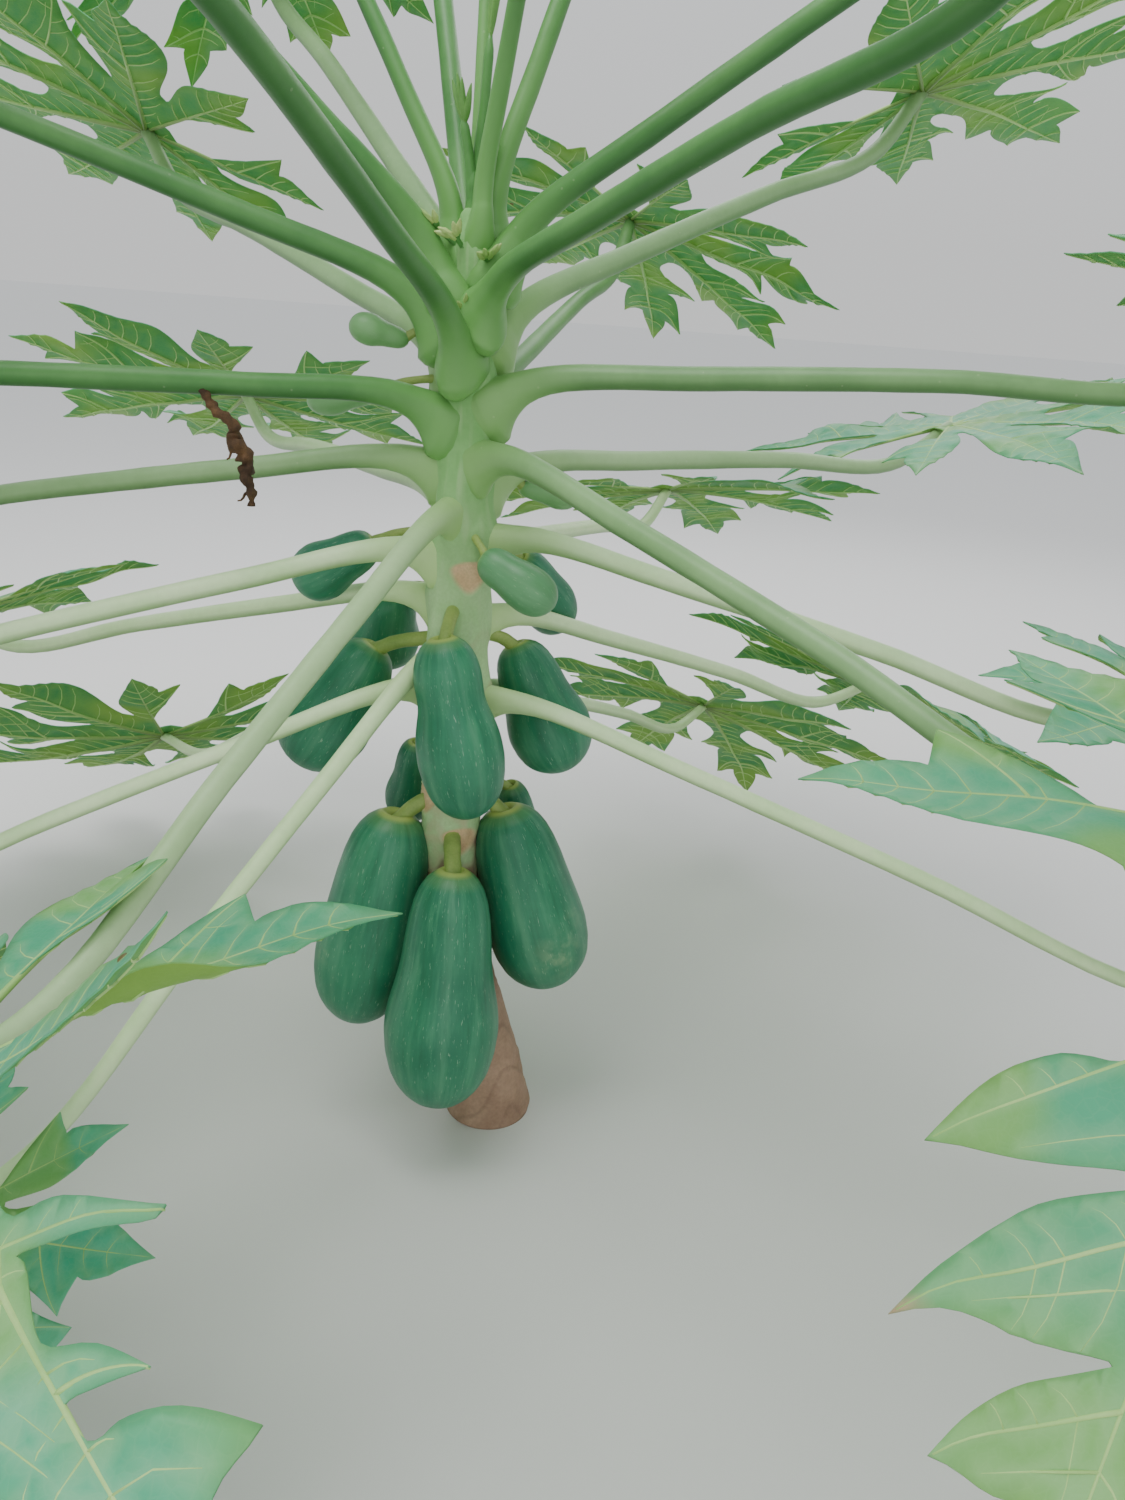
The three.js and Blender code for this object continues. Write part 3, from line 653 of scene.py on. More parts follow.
def reach_of_ray(start, way, ring):
    """How far a ray runs before it meets a closed ring of points."""
    a, b = ring, np.roll(ring, -1, axis=0)
    side = b - a
    cross = way[0] * side[:, 1] - way[1] * side[:, 0]
    cross = np.where(np.abs(cross) < 1e-9, 1e-9, cross)
    offset = a - start
    ahead = (offset[:, 0] * side[:, 1] - offset[:, 1] * side[:, 0]) / cross
    across = (offset[:, 0] * way[1] - offset[:, 1] * way[0]) / cross
    hits = ahead[(ahead > 0.5) & (across >= 0) & (across <= 1)]
    return hits.min() if len(hits) else 0.0


def vein_places(length, step, taken=()):
    """Distances along a rib at which its side veins leave, clear of the places already taken."""
    places = [step * count for count in range(1, int(length * 0.96 / step))]
    return [place for place in places if all(abs(place - other) >= step * 0.45 for other in taken)]


def side_veins(roots, turn, step, ring):
    """Looped veins from points of a rib to both its sides, each as a run of points."""
    forward = turned(1, 0, turn)
    found = []
    for root in roots:
        for hand in (-1, 1):
            way = turned(1, 0, turn + hand * VEIN_ANGLE)
            far = reach_of_ray(root, way, ring) * VEIN_REACH
            if far < step * 0.4:
                continue
            end = root + way * far + forward * min(step * 0.55, far * 0.3)
            knee = root + way * (far * 0.72) - forward * (far * 0.06)
            found.append(curve_of_three(root, knee, end, max(4, int(far / 12))))
    return found


def kept_inside(run, ring):
    """The first part of a run of points, up to where it leaves a closed ring."""
    a, b = ring, np.roll(ring, -1, axis=0)
    height = np.where(a[:, 1] == b[:, 1], 1e-9, b[:, 1] - a[:, 1])
    crosses = (a[:, 1] > run[:, None, 1]) != (b[:, 1] > run[:, None, 1])
    left = run[:, None, 0] < a[:, 0] + (run[:, None, 1] - a[:, 1]) * (b[:, 0] - a[:, 0]) / height
    inside = np.count_nonzero(crosses & left, axis=1) % 2 == 1
    inside[0] = True
    return run if inside.all() else run[:int(np.argmin(inside))]


def vein_runs(fields, edge, places, reach):
    """Main ribs and side veins as runs of points in the blade's plane, each with its radii."""
    runs = []
    hub = np.zeros(2)
    for lobe, first, last in fields:
        own = lobe["reach"] * reach
        turn = lobe["turn"]
        stations = np.linspace(0, 1, max(8, int(own / 14)))
        taper = 1 - 0.84 * stations
        rib = np.outer(stations, turned(own * 0.99, 0, turn))
        runs.append(("rib", rib, RIB_RADIUS * taper * own / RIB_REACH))
        ring = np.vstack([hub, edge[places[first]:places[last] + 1], hub])
        taken = []
        for side, hand in ((lobe["before"], -1), (lobe["after"], 1)):
            sinus = 0.0
            for kind, along, aside in side:
                if kind == "sinus":
                    sinus = along
                if kind != "tip":
                    continue
                start = own * max(along - BRANCH_SLANT * aside, sinus + BRANCH_CLEARS)
                taken.append(start)
                root = turned(start, 0, turn)
                end = root + (turned(own * along, hand * own * aside, turn) - root) * 0.975
                knee = (root + end) / 2 + turned(-own * 0.02, hand * own * 0.012, turn)
                branch = curve_of_three(root, knee, end, BRANCH_POINTS)
                runs.append(("branch", branch, None))
                length = np.linalg.norm(end - root)
                if length > 3 * SIDE_VEIN_STEP:
                    roots = [branch[int(place / length * (BRANCH_POINTS - 1))]
                             for place in vein_places(length, SIDE_VEIN_STEP)]
                    lean = math.degrees(math.atan2(end[1] - root[1], end[0] - root[0]))
                    runs += [("fine", vein, None) for vein in side_veins(roots, lean, SIDE_VEIN_STEP, ring)]
        roots = [turned(place, 0, turn) for place in vein_places(own, VEIN_STEP, taken)]
        runs += [("vein", vein, None) for vein in side_veins(roots, turn, VEIN_STEP, ring)]
    kept = []
    for kind, run, radii in [entry for kind in VEIN_ORDER for entry in runs if entry[0] == kind]:
        if radii is None:
            run = kept_inside(run, edge)
            if kind in ("vein", "fine"):
                run = kept_apart(run, kept)
            radii = VEIN_RADII[kind] * reach / FULL_REACH * np.linspace(1, 0.4, len(run))
        if len(run) > 2:
            kept.append((kind, run, radii))
    return kept


def kept_apart(run, others):
    """The first part of a run of points, up to where it comes close to another vein."""
    if len(run) < 3:
        return run
    close = distance_to_runs(run[2:], others, weighed=False) < VEIN_CLEARS
    return run[:2 + int(np.argmax(close))] if close.any() else run


def distance_to_runs(spots, runs, weighed=True):
    """Distance from each spot to the nearest run of points, longer for the finer kinds if weighed."""
    starts = np.concatenate([run[:-1] for _, run, _ in runs])
    ends = np.concatenate([run[1:] for _, run, _ in runs])
    strength = np.concatenate([np.full(len(run) - 1, VEIN_FINENESS[kind] if weighed else 1.0)
                               for kind, run, _ in runs])
    sides = ends - starts
    lengths = np.maximum(np.sum(sides * sides, axis=1), 1e-9)
    nearest = np.full(len(spots), 1e9)
    for low in range(0, len(spots), 512):
        part = spots[low:low + 512, None, :]
        share = np.clip(np.sum((part - starts) * sides, axis=2) / lengths, 0, 1)
        gap = np.linalg.norm(part - (starts + share[..., None] * sides), axis=2) * strength
        nearest[low:low + 512] = gap.min(axis=1)
    return nearest


def blade_heights(spots, lobes, reach, droop, runs, seed):
    """Height of each spot of a blade over its stalk's end, before the blade is tilted."""
    radius = np.linalg.norm(spots, axis=1)
    angle = np.degrees(np.arctan2(spots[:, 1], spots[:, 0]))
    turns = np.array([lobe["turn"] for lobe in lobes])
    gaps = np.abs((angle[:, None] - turns[None, :] + 180) % 360 - 180)
    off_rib = radius * np.sin(np.radians(np.minimum(gaps.min(axis=1), 60)))
    nearness = bell(gaps, LOBE_ANGLE)
    curls = np.array([lobe.get("curl", 0) for lobe in lobes])
    random = np.random.default_rng(seed)
    sag = random.uniform(LEAST_SAG, MOST_SAG, len(lobes))
    weights = nearness / np.maximum(nearness.sum(axis=1, keepdims=True), 1e-9)
    curl = weights @ (curls - sag)
    height = LOBE_FOLD * off_rib + (curl - droop) * radius ** 2 / reach
    outer = (radius / reach) ** 1.5
    height += WAVE_HEIGHT * outer * soft_waves(spots, WAVE_SIZE, seed) * (0.4 + off_rib / 40)
    return height - GROOVE_DEPTH * bell(distance_to_runs(spots, runs), GROOVE_WIDTH)


def blade_pose(number):
    """Matrix and shift that bring the blade's own frame to its place on the plant."""
    leaf = LEAVES[number]
    nod = leaf.get("nod", BLADE_NOD + NOD_PER_RISE * leaf["rise"])
    _, direction, points = stalk_frame(number)
    end = through(points, [1.0])[0]
    turn = Matrix.Rotation(math.radians(direction + leaf.get("turn", 0)), 3, "Z")
    turn = turn @ Matrix.Rotation(math.radians(nod), 3, "Y")
    turn = turn @ Matrix.Rotation(math.radians(leaf.get("roll", 0)), 3, "X")
    return np.array(turn), end + np.array([0, 0, BLADE_BACKING])


def blade_triangles(edge, runs, step):
    """Spots and triangles that fill the blade's edge, with the veins among their lines."""
    low, high = edge.min(axis=0), edge.max(axis=0)
    rows = np.arange(low[1], high[1], step * 0.866)
    grid = np.array([(x + (k % 2) * step / 2, y) for k, y in enumerate(rows)
                     for x in np.arange(low[0], high[0], step)])
    grid = grid[distance_to_edge(grid, edge) > step * 0.55]
    lines = [("rib", run, None) for _, run, _ in runs]
    grid = grid[distance_to_runs(grid, lines) > step * 0.42]
    spots = [edge]
    links = [(k, (k + 1) % len(edge)) for k in range(len(edge))]
    count = len(edge)
    for _, run, _ in runs:
        spots.append(run)
        links += [(count + k, count + k + 1) for k in range(len(run) - 1)]
        count += len(run)
    spots = np.concatenate(spots + [grid])
    found = delaunay_2d_cdt([Vector(spot) for spot in spots], links, [list(range(len(edge)))], 1, 0.02)
    corners = np.array([tuple(spot) for spot in found[0]])
    triangles = np.array([face for face in found[2] if len(face) == 3])
    used, triangles = np.unique(triangles, return_inverse=True)
    return corners[used], triangles.reshape(-1, 3)


def distance_to_edge(spots, edge):
    return distance_to_runs(spots, [("rib", np.vstack([edge, edge[:1]]), None)])


def spot_mask(spots, reach, places, size):
    """Soft round spots on a blade, from the places of their middles as shares of its reach."""
    mask = np.zeros(len(spots))
    for place in places:
        gap = np.linalg.norm(spots - np.array(place) * reach, axis=1)
        mask = np.maximum(mask, bell(gap, size * reach))
    return mask


def rim_links(triangles):
    """The directed edges that only one triangle has, in their order."""
    links = dict.fromkeys(link for a, b, c in triangles for link in ((a, b), (b, c), (c, a)))
    return [(a, b) for a, b in links if (b, a) not in links]


def add_blade(build, number, top, under, rib):
    """Blade with a top side, an underside and standing ribs; top, under and rib are their finishes."""
    leaf = LEAVES[number]
    reach = leaf.get("reach", between(BLADE_REACHES, number))
    droop = leaf.get("droop", YOUNG_DROOP if number >= YOUNG_FROM else BLADE_DROOP)
    lobes = lobes_round(leaf)
    keys, fields = key_points(lobes, reach)
    edge, places = edge_points(keys)
    runs = vein_runs(fields, edge, places, reach)
    step = (NEAR_GRID_STEP if number in NEAR_LEAVES else GRID_STEP) * max(0.5, min(1, reach / 280))
    spots, triangles = blade_triangles(edge, runs, step)
    first, second, third = (spots[triangles[:, corner]] for corner in range(3))
    turned_over = np.cross(second - first, third - first) < 0
    triangles[turned_over] = triangles[turned_over][:, ::-1]
    height = blade_heights(spots, lobes, reach, droop, runs, number)
    turn, shift = blade_pose(number)
    upper = np.column_stack([spots, height]) @ turn.T + shift
    lower = np.column_stack([spots, height - BLADE_THICKNESS]) @ turn.T + shift
    age = age_of(number)
    patch = smoothstep(0.35, 1.4, soft_waves(spots, PATCH_SIZE, number + 50) + 0.5 * age)
    values = {
        "age": age,
        "vein": bell(distance_to_runs(spots, runs), VEIN_TINT_WIDTH),
        "rim": bell(distance_to_edge(spots, edge), RIM_TINT_WIDTH),
        "patch": np.maximum(patch, spot_mask(spots, reach, leaf.get("yellow", ()), YELLOW_SIZE)),
        "dry": spot_mask(spots, reach, leaf.get("dry", ()), DRY_SIZE),
    }
    base = build.count
    total = len(spots)
    build.add(upper, triangles.tolist(), top, **values)
    build.add(lower, triangles[:, ::-1].tolist(), under, **values)
    for a, b in rim_links(triangles):
        build.faces.append((base + b, base + a, base + total + a, base + total + b))
        build.kinds.append(top)
    ring = np.sin(np.linspace(0, 2 * math.pi, RIB_SIDES, endpoint=False))
    for kind, run, radii in runs:
        if kind == "rib":
            share = np.linspace(0, 1, len(run) * 2 - 1)
            before = np.linspace(0, 1, len(run))
            run = np.column_stack([np.interp(share, before, run[:, k]) for k in (0, 1)])
            radii = np.interp(share, before, radii)
        rise = blade_heights(run, lobes, reach, droop, runs, number)
        line = np.column_stack([run, rise - BLADE_THICKNESS * 0.5]) @ turn.T + shift
        way = run[-1] - run[0]
        sideways = turn @ np.array([-way[1], way[0], 0])
        skin, faces = tube(line, unit(sideways), radii, radii * 0.5 + 0.35, RIB_SIDES, radii * 1.5 + 0.4)
        # Painted shade: the lower side of each main rib, darkest at the stalk's end and gone at 0.55 of the
        # reach
        shade = np.tile(ring < -0.1, len(run)) * np.repeat(
            np.clip(1 - np.linalg.norm(run, axis=1) / (0.55 * reach), 0, 1), RIB_SIDES)
        build.add(skin, faces, rib, age=age, shade=shade if kind == "rib" else 0.0)


def make_leaf(number, finishes):
    build = Build()
    add_stalk(build, number, 0)
    add_blade(build, number, 1, 2, 3)
    name = f"leaf_{number:02d}"
    return build.piece(f"{name}_grown", finishes, [name])


def scar_table():
    """Height and direction of the scar that each fallen leaf left on the trunk."""
    fallen = [n for n in range(OLDEST_SCAR, 1) if n not in LEAVES] + [7]
    return [(float(node_height(n)) + (0 if n >= 0 else 3 * math.sin(n * 2.3)),
             FIRST_DIRECTION + DIVERGENCE * n + 8 * math.sin(n * 1.7)) for n in fallen]


def aside_from(direction, angles, radius):
    """Way round the trunk's surface from a direction to each angle."""
    return np.radians((np.degrees(angles) - direction + 180) % 360 - 180) * radius


def cushions(heights, angles, radius):
    """How far the bark swells out under each leaf's foot."""
    swell = np.zeros(len(heights))
    for number in LEAVES:
        foot, direction, _ = stalk_frame(number)
        aside = aside_from(direction, angles, radius) / CUSHION_WIDTH
        below = (heights - foot[2] + CUSHION_DROP) / CUSHION_HEIGHT
        swell = np.maximum(swell, CUSHION_SWELL * np.exp(-aside ** 2 - below ** 2))
    return swell


def leaf_scars(heights, angles, radius):
    """Mask of the scars, and how far the bark stands out or in at them."""
    scar = np.zeros(len(heights))
    relief = np.zeros(len(heights))
    for level, direction in scar_table():
        if level < LOWEST_SCAR:
            continue
        above = heights - level
        half_width = SCAR_HALF_WIDTH - SCAR_NARROWING * np.clip(-above, 0, SCAR_NARROWS_OVER)
        across = aside_from(direction, angles, radius) / half_width
        upward = above / np.where(above > 0, SCAR_UPWARD, SCAR_DOWNWARD)
        inside = np.sqrt(across ** 2 + upward ** 2)
        pad = 1 - smoothstep(0.75, 1.05, inside)
        scar = np.maximum(scar, pad)
        relief += SCAR_RIM_HEIGHT * bell(inside - 1, SCAR_RIM_WIDTH) - SCAR_HOLLOW * pad
    return scar, relief


def bark_rings(heights, angles, frayed):
    rings = np.zeros(len(heights))
    for level in BARK_RINGS:
        edge = heights - level - RING_WANDER * np.sin(angles * 2 + level) - RING_FRAYING * frayed
        rings = np.maximum(rings, bell(edge, np.where(edge > 0, RING_ABOVE, RING_BELOW)))
    return rings


def bark_waves(angles, around, upward, size, seed, count=7):
    """Soft waves over the trunk's surface, from its scale round the trunk and up it."""
    return soft_waves(np.column_stack([np.cos(angles) * around, np.sin(angles) * around, upward]),
                      size, seed, count)


def make_trunk(material):
    heights = np.linspace(0, TRUNK_TOP, TRUNK_RINGS)
    angles = np.linspace(0, 2 * math.pi, TRUNK_SIDES, endpoint=False)
    h, a = (grid.ravel() for grid in np.meshgrid(heights, angles, indexing="ij"))
    radius = between(TRUNK_RADII, h)
    scar, relief = leaf_scars(h, a, radius)
    frayed = bark_waves(a, 26, h * 0.5, 15, 8, 12)
    streaks = bark_waves(a, 30, h * 0.16, 9, 5, 12)
    old = 1 - smoothstep(*CORKY_EDGE, h + CORKY_FRAYING * frayed)
    rings = bark_rings(h, a, frayed)
    slant = h * math.cos(FOLD_LEAN) + radius * np.sin(a - FOLD_TURN) * math.sin(FOLD_TURN) * FOLD_TILT
    fold = (slant / FOLD_PITCH + 0.25 * bark_waves(a, 1, h / 60, 1.6, 4)) % 1
    crease = bell(np.minimum(fold, 1 - fold), CREASE_WIDTH)
    wrapped = 1 - smoothstep(*FOLDED_EDGE, h)
    relief += (wrapped * (FOLD_HEIGHT * fold - CREASE_DEPTH * crease)
               + old * CORKY_LUMPS * bark_waves(a, 30, h, 14, 3, 10))
    relief += RING_HEIGHT * rings * (1 - wrapped) + (1 - old) * STREAK_HEIGHT * streaks
    lobes = sum(height * np.sin(count * a + turn) for count, turn, height in FLARE_LOBES)
    flare = np.exp(-h / FLARE_HEIGHT) * lobes * smoothstep(0, 3, h)
    reach = radius + relief * smoothstep(0, 12, h) + flare + cushions(h, a, radius)
    dome = np.maximum(h - TRUNK_TOP + TRUNK_DOME, 0) / TRUNK_DOME
    reach *= np.sqrt(np.clip(1 - dome ** 2, 0.03, 1))
    spots = trunk_centre(h) + np.column_stack([np.cos(a) * reach, np.sin(a) * reach, np.zeros_like(a)])
    ring_tone = RING_TONE * rings * (1 - smoothstep(*RINGS_FADE, h))
    build = Build()
    build.add(spots, ring_faces(TRUNK_RINGS, TRUNK_SIDES), 0, scar=scar, old=np.maximum(old, ring_tone),
              streak=0.5 + 0.3 * streaks, crease=crease * wrapped, level=h / TRUNK_TOP)
    build.piece("trunk_bark", [material], ["trunk"])


def add_fruit_stalk(build, fruit, top, tip, seed):
    """Stalk that leaves the trunk level and bends down into the fruit's top."""
    start = trunk_centre(top[2] + FRUIT_STALK_RISE)
    inside = top + (tip - top) * FRUIT_STALK_DEPTH
    knee = start + (top - start) * FRUIT_STALK_KNEE
    knee[2] = start[2]
    path = curve_of_three(start, knee, inside, FRUIT_STALK_RINGS)
    along = np.linspace(0, 1, FRUIT_STALK_RINGS)
    swell = 1 + 0.35 * bell(along - 0.1, 0.16) + 0.3 * smoothstep(0.72, 0.95, along)
    thick = max(fruit["width"] * FRUIT_STALK_SHARE, FRUIT_STALK_LEAST) * swell
    sideways = unit([start[1] - top[1], top[0] - start[0], 0.0])
    spots, faces = tube(path, sideways, thick, thick, FRUIT_STALK_SIDES)
    spots = spread(path, spots, 1 + 0.05 * soft_waves(spots, 16, seed))
    build.add(spots, faces, 1, share=np.repeat(along, FRUIT_STALK_SIDES), age=0.5)


def make_fruit(name, finishes, seed):
    fruit = FRUITS[name]
    top, tip = (np.array(fruit[end], float) for end in ("top", "tip"))
    length = np.linalg.norm(top - tip)
    axis = unit(top - tip)
    aside = unit(np.cross(axis, [0.0, 0.0, 1.0]))
    front = np.cross(axis, aside)
    share = 0.5 - 0.5 * np.cos(np.linspace(0, 1, FRUIT_RINGS) * math.pi)
    collar_along, collar_wide = np.array(COLLAR).T
    thick = np.concatenate([between(FRUIT_PROFILE, share), collar_wide])
    collar = np.concatenate([smoothstep(0.985, 1, share), np.ones(len(COLLAR))])
    # Painted shade in the dip round the stalk, on the inner collar rings
    pit = np.concatenate([np.zeros(FRUIT_RINGS), smoothstep(0.99, 0.972, collar_along)])
    share = np.concatenate([share, collar_along])
    thick, collar, pit = (np.repeat(values, FRUIT_SIDES) for values in (thick, collar, pit))
    angle = np.linspace(0, 2 * math.pi, FRUIT_SIDES, endpoint=False)
    s, a = (grid.ravel() for grid in np.meshgrid(share, angle, indexing="ij"))
    shoulder = 1 - (1 - fruit["shoulder"]) * smoothstep(SHOULDER_FROM, SHOULDER_TO, s)
    waist = 1 - fruit.get("waist", 0) * bell(s - WAIST_PLACE, WAIST_LENGTH)
    full = np.sin(np.clip(s, 0, 1) * math.pi)
    phase = np.random.default_rng(seed).uniform(0, 2 * math.pi)
    ribs = np.abs(np.cos((a - phase) * FRUIT_RIDGES / 2))
    ridges = RIDGE_HEIGHT * (ribs - 0.6) * (0.35 + 0.65 * full)
    lumps = FRUIT_LUMPS * soft_waves(np.column_stack([np.cos(a), np.sin(a), s * 3]), 2.2, seed)
    radius = thick * fruit["width"] / 2 * shoulder * waist * (1 + (ridges + lumps) * (1 - 0.5 * collar))
    centre = tip + axis * (s * length)[:, None]
    spots = centre + aside * (np.cos(a) * radius)[:, None] + front * (np.sin(a) * radius)[:, None]
    scuff = np.zeros(len(s))
    for where, direction, size in fruit.get("scuffs", ()):
        facing = np.clip(unit(spots - centre) @ heading(direction, 0), -1, 1)
        turn = np.degrees(np.arccos(facing)) / (size * SCUFF_SPREAD)
        scuff = np.maximum(scuff, np.exp(-((s - where) / size) ** 2 - turn ** 2))
    young = 1.0 if fruit["width"] < YOUNG_FRUIT_WIDTH else fruit.get("youth", 0.0)
    round_skin = fruit["width"] / SKIN_PATTERN_SIZE
    build = Build()
    build.add(spots, ring_faces(len(share), FRUIT_SIDES), 0, around_x=np.cos(a) * round_skin,
              around_y=np.sin(a) * round_skin, down=s * length / SKIN_PATTERN_SIZE, along=s, young=young,
              collar=collar, scuff=scuff, groove=bell(ribs, GROOVE_SHARE), pit=pit)
    add_fruit_stalk(build, fruit, top, tip, seed)
    build.piece(f"{name}_skin", finishes, [name])


def add_spindle(build, foot, direction, rise, length, radius, kind, age, pleats=0):
    """Bud or folded leaf: swollen in the middle, pointed at its end, with soft pleats along it."""
    share = np.linspace(0, 1, SPINDLE_RINGS)
    swell = np.sin(share ** 0.8 * math.pi * 0.96 + 0.06) ** 0.75
    thick = np.maximum(swell * radius, SPINDLE_LEAST)
    path = foot + np.outer(share * length, heading(direction, rise))
    spots, faces = tube(path, heading(direction + 90, 0), thick, thick, SPINDLE_SIDES)
    if pleats:
        angle = np.tile(np.linspace(0, 2 * math.pi, SPINDLE_SIDES, endpoint=False), SPINDLE_RINGS)
        twist = np.repeat(share, SPINDLE_SIDES) * PLEAT_TWIST
        spots = spread(path, spots, 1 + PLEAT_DEPTH * np.cos(pleats * (angle + twist)))
    build.add(spots, faces, kind, share=0.5, age=age)


def make_flowers(name, finishes, seed):
    direction, height, reach = FLOWERS[name]
    foot = trunk_centre(height)
    outward = heading(direction, FLOWER_RISE)
    end = foot + outward * reach
    knee = foot + outward * reach * 0.5 + FLOWER_SAG
    path = curve_of_three(foot, knee, end, FLOWER_STALK_RINGS)
    thick = FLOWER_STALK_RADIUS * (1 + 0.3 * np.linspace(1, 0, FLOWER_STALK_RINGS))
    spots, faces = tube(path, heading(direction + 90, 0), thick, thick, FLOWER_STALK_SIDES)
    build = Build()
    build.add(spots, faces, 0, share=0.2, age=FLOWER_AGE)
    random = np.random.default_rng(seed)
    for turn in BUD_TURNS:
        start = end - outward * random.uniform(1, 9)
        rise = FLOWER_RISE + turn * BUD_RISE_PER_TURN + random.uniform(-8, 8)
        length = BUD_LENGTH * random.uniform(0.7, 1.1)
        way = heading(direction + turn, rise)
        radius = BUD_RADIUS * random.uniform(0.75, 1)
        add_spindle(build, start, direction + turn, rise, length * 0.5, BUD_RADIUS * 0.75, 0, FLOWER_AGE)
        add_spindle(build, start + way * 2.5, direction + turn, rise, length, radius, 1, FLOWER_AGE,
                    BUD_PLEATS)
    for turn in BRACT_TURNS:
        add_spindle(build, path[5], direction + turn, 20, 9, 0.9, 0, FLOWER_AGE)
    build.piece(f"{name}_open", finishes, [name])


def make_heart(finishes):
    foot = trunk_centre(TRUNK_TOP)
    share = np.linspace(0, 1, HEART_RINGS)
    narrowing = (1.15 - 0.62 * smoothstep(0, 0.7, share)) * (1 - 0.6 * smoothstep(0.9, 1, share))
    build = Build()
    for direction, lean, length, radius in HEART_LEAVES:
        outward = heading(direction, 90 - lean)
        start = foot - outward * HEART_DEPTH
        end = foot + outward * (3 + length * HEART_STALK_SHARE)
        path = start + np.outer(share, end - start)
        thick = radius * narrowing
        spots, faces = tube(path, heading(direction + 90, 0), thick, thick, HEART_SIDES)
        build.add(spots, faces, 0, share=np.repeat(share, HEART_SIDES), age=0.0)
        for lobe in range(-2, 3):
            rise = 90 - lean - abs(lobe) * HEART_LOBE_LEAN
            add_spindle(build, end - outward * 5, direction + lobe * HEART_LOBE_TURN, rise,
                        length * (0.38 - 0.03 * abs(lobe)), radius * 0.36, 1, 0.0, HEART_PLEATS)
    for turn in (0, 120, 240):
        add_spindle(build, foot, turn, 76, 26, 6, 0, 0.0)
    build.piece("heart_leaves", finishes, ["heart"])


def make_dried_stem(material):
    _, _, points = stalk_frame(DRIED_STEM["leaf"])
    top = through(points, [DRIED_STEM["share"]])[0]
    aside, drop = DRIED_STEM["aside"], DRIED_STEM["drop"]
    bend = top + np.array([aside, 0, -drop / 3])
    path = curve_of_three(top, bend, top + np.array([aside, 0, -drop]), DRIED_RINGS)
    share = np.linspace(0, 1, DRIED_RINGS)
    line = share[:, None] * 100
    middle = np.sin(share * math.pi)
    path = path + np.column_stack([soft_waves(line, 30, seed) * 2.2 * middle for seed in (1, 2, 3)])
    knots = 0.65 + 0.5 * np.abs(soft_waves(line, 16, 9))
    thick = (DRIED_STEM["end_radius"] + DRIED_STEM["bulge"] * middle) * knots
    spots, faces = tube(path, (0.0, 1.0, 0.0), thick, thick * 0.8, DRIED_SIDES)
    spots = spread(path, spots, 1 + 0.25 * soft_waves(spots, 9, 4))
    build = Build()
    build.add(spots, faces, 0, share=np.repeat(share, DRIED_SIDES), age=1.0)
    random = np.random.default_rng(12)
    line = np.linspace(0, 60, TWIG_RINGS)[:, None]
    wander = np.column_stack([soft_waves(line, 40, seed) for seed in (20, 21, 22)])
    wide, flat = np.linspace(2.2, 0.8, TWIG_RINGS), np.linspace(1.8, 0.6, TWIG_RINGS)
    for where in TWIG_PLACES:
        start = path[int(where * (DRIED_RINGS - 1))]
        way = heading(random.uniform(0, 360), random.uniform(-70, -10))
        twig = start + np.outer(np.linspace(0, 1, TWIG_RINGS), way * random.uniform(8, 15)) + wander
        spots, faces = tube(twig, (0.0, 1.0, 0.2), wide, flat, TWIG_SIDES)
        build.add(spots, faces, 0, share=where, age=1.0)
    build.piece("dried_stem_twist", [material], ["dried_stem"])


SOCKETS = {"colour": "NodeSocketColor", "value": "NodeSocketFloat", "vector": "NodeSocketVector"}
NET_SHIFT = (0.012, 0.012, 0.012)


def shader_group(name, inputs, outputs):
    """Empty shader group with named sockets, and its nodes, links, start and end."""
    group = bpy.data.node_groups.new(name, "ShaderNodeTree")
    for title, kind, default in inputs:
        socket = group.interface.new_socket(title, in_out="INPUT", socket_type=SOCKETS[kind])
        if default is not None:
            socket.default_value = default
    for title, kind in outputs:
        group.interface.new_socket(title, in_out="OUTPUT", socket_type=SOCKETS[kind])
    start = group.nodes.new("NodeGroupInput")
    end = group.nodes.new("NodeGroupOutput")
    return group, start, end


def node(tree, kind, links=None, **settings):
    """New node with its settings; links maps its input sockets to values or output sockets."""
    made = tree.nodes.new(kind)
    for key, value in settings.items():
        setattr(made, key, value)
    for key, value in (links or {}).items():
        if isinstance(value, bpy.types.NodeSocket):
            tree.links.new(value, made.inputs[key])
        else:
            made.inputs[key].default_value = value
    return made


def blend(tree, factor, first, second, how="MIX"):
    """Colour between two colours."""
    mix = node(tree, "ShaderNodeMix", {0: factor, 6: first, 7: second}, data_type="RGBA", blend_type=how)
    return mix.outputs[2]


def sums(tree, how, first, second=0.5, clamp=False):
    return node(tree, "ShaderNodeMath", {0: first, 1: second}, operation=how, use_clamp=clamp).outputs[0]


def scaled(tree, value, factor):
    return sums(tree, "MULTIPLY", value, factor)


def tinted(tree, body, layers):
    """Colour with tones laid over it in their order, each as far as its mask says."""
    for mask, tone in layers:
        body = blend(tree, mask, body, tone)
    return body


def span(tree, value, low, high, out_low=0.0, out_high=1.0):
    links = {0: value, 1: low, 2: high, 3: out_low, 4: out_high}
    return node(tree, "ShaderNodeMapRange", links, clamp=True).outputs[0]


def object_place(tree):
    return tree.nodes.new("ShaderNodeTexCoord").outputs["Object"]


def attribute(tree, name, factor=None):
    """A value that the mesh carries at its vertices, times a factor if one is given."""
    value = node(tree, "ShaderNodeAttribute", attribute_name=name).outputs["Fac"]
    return value if factor is None else scaled(tree, value, factor)


def noise(tree, place, scale, detail, **more):
    return node(tree, "ShaderNodeTexNoise", {
        "Vector": place, "Scale": scale, "Detail": detail, **more}).outputs["Fac"]


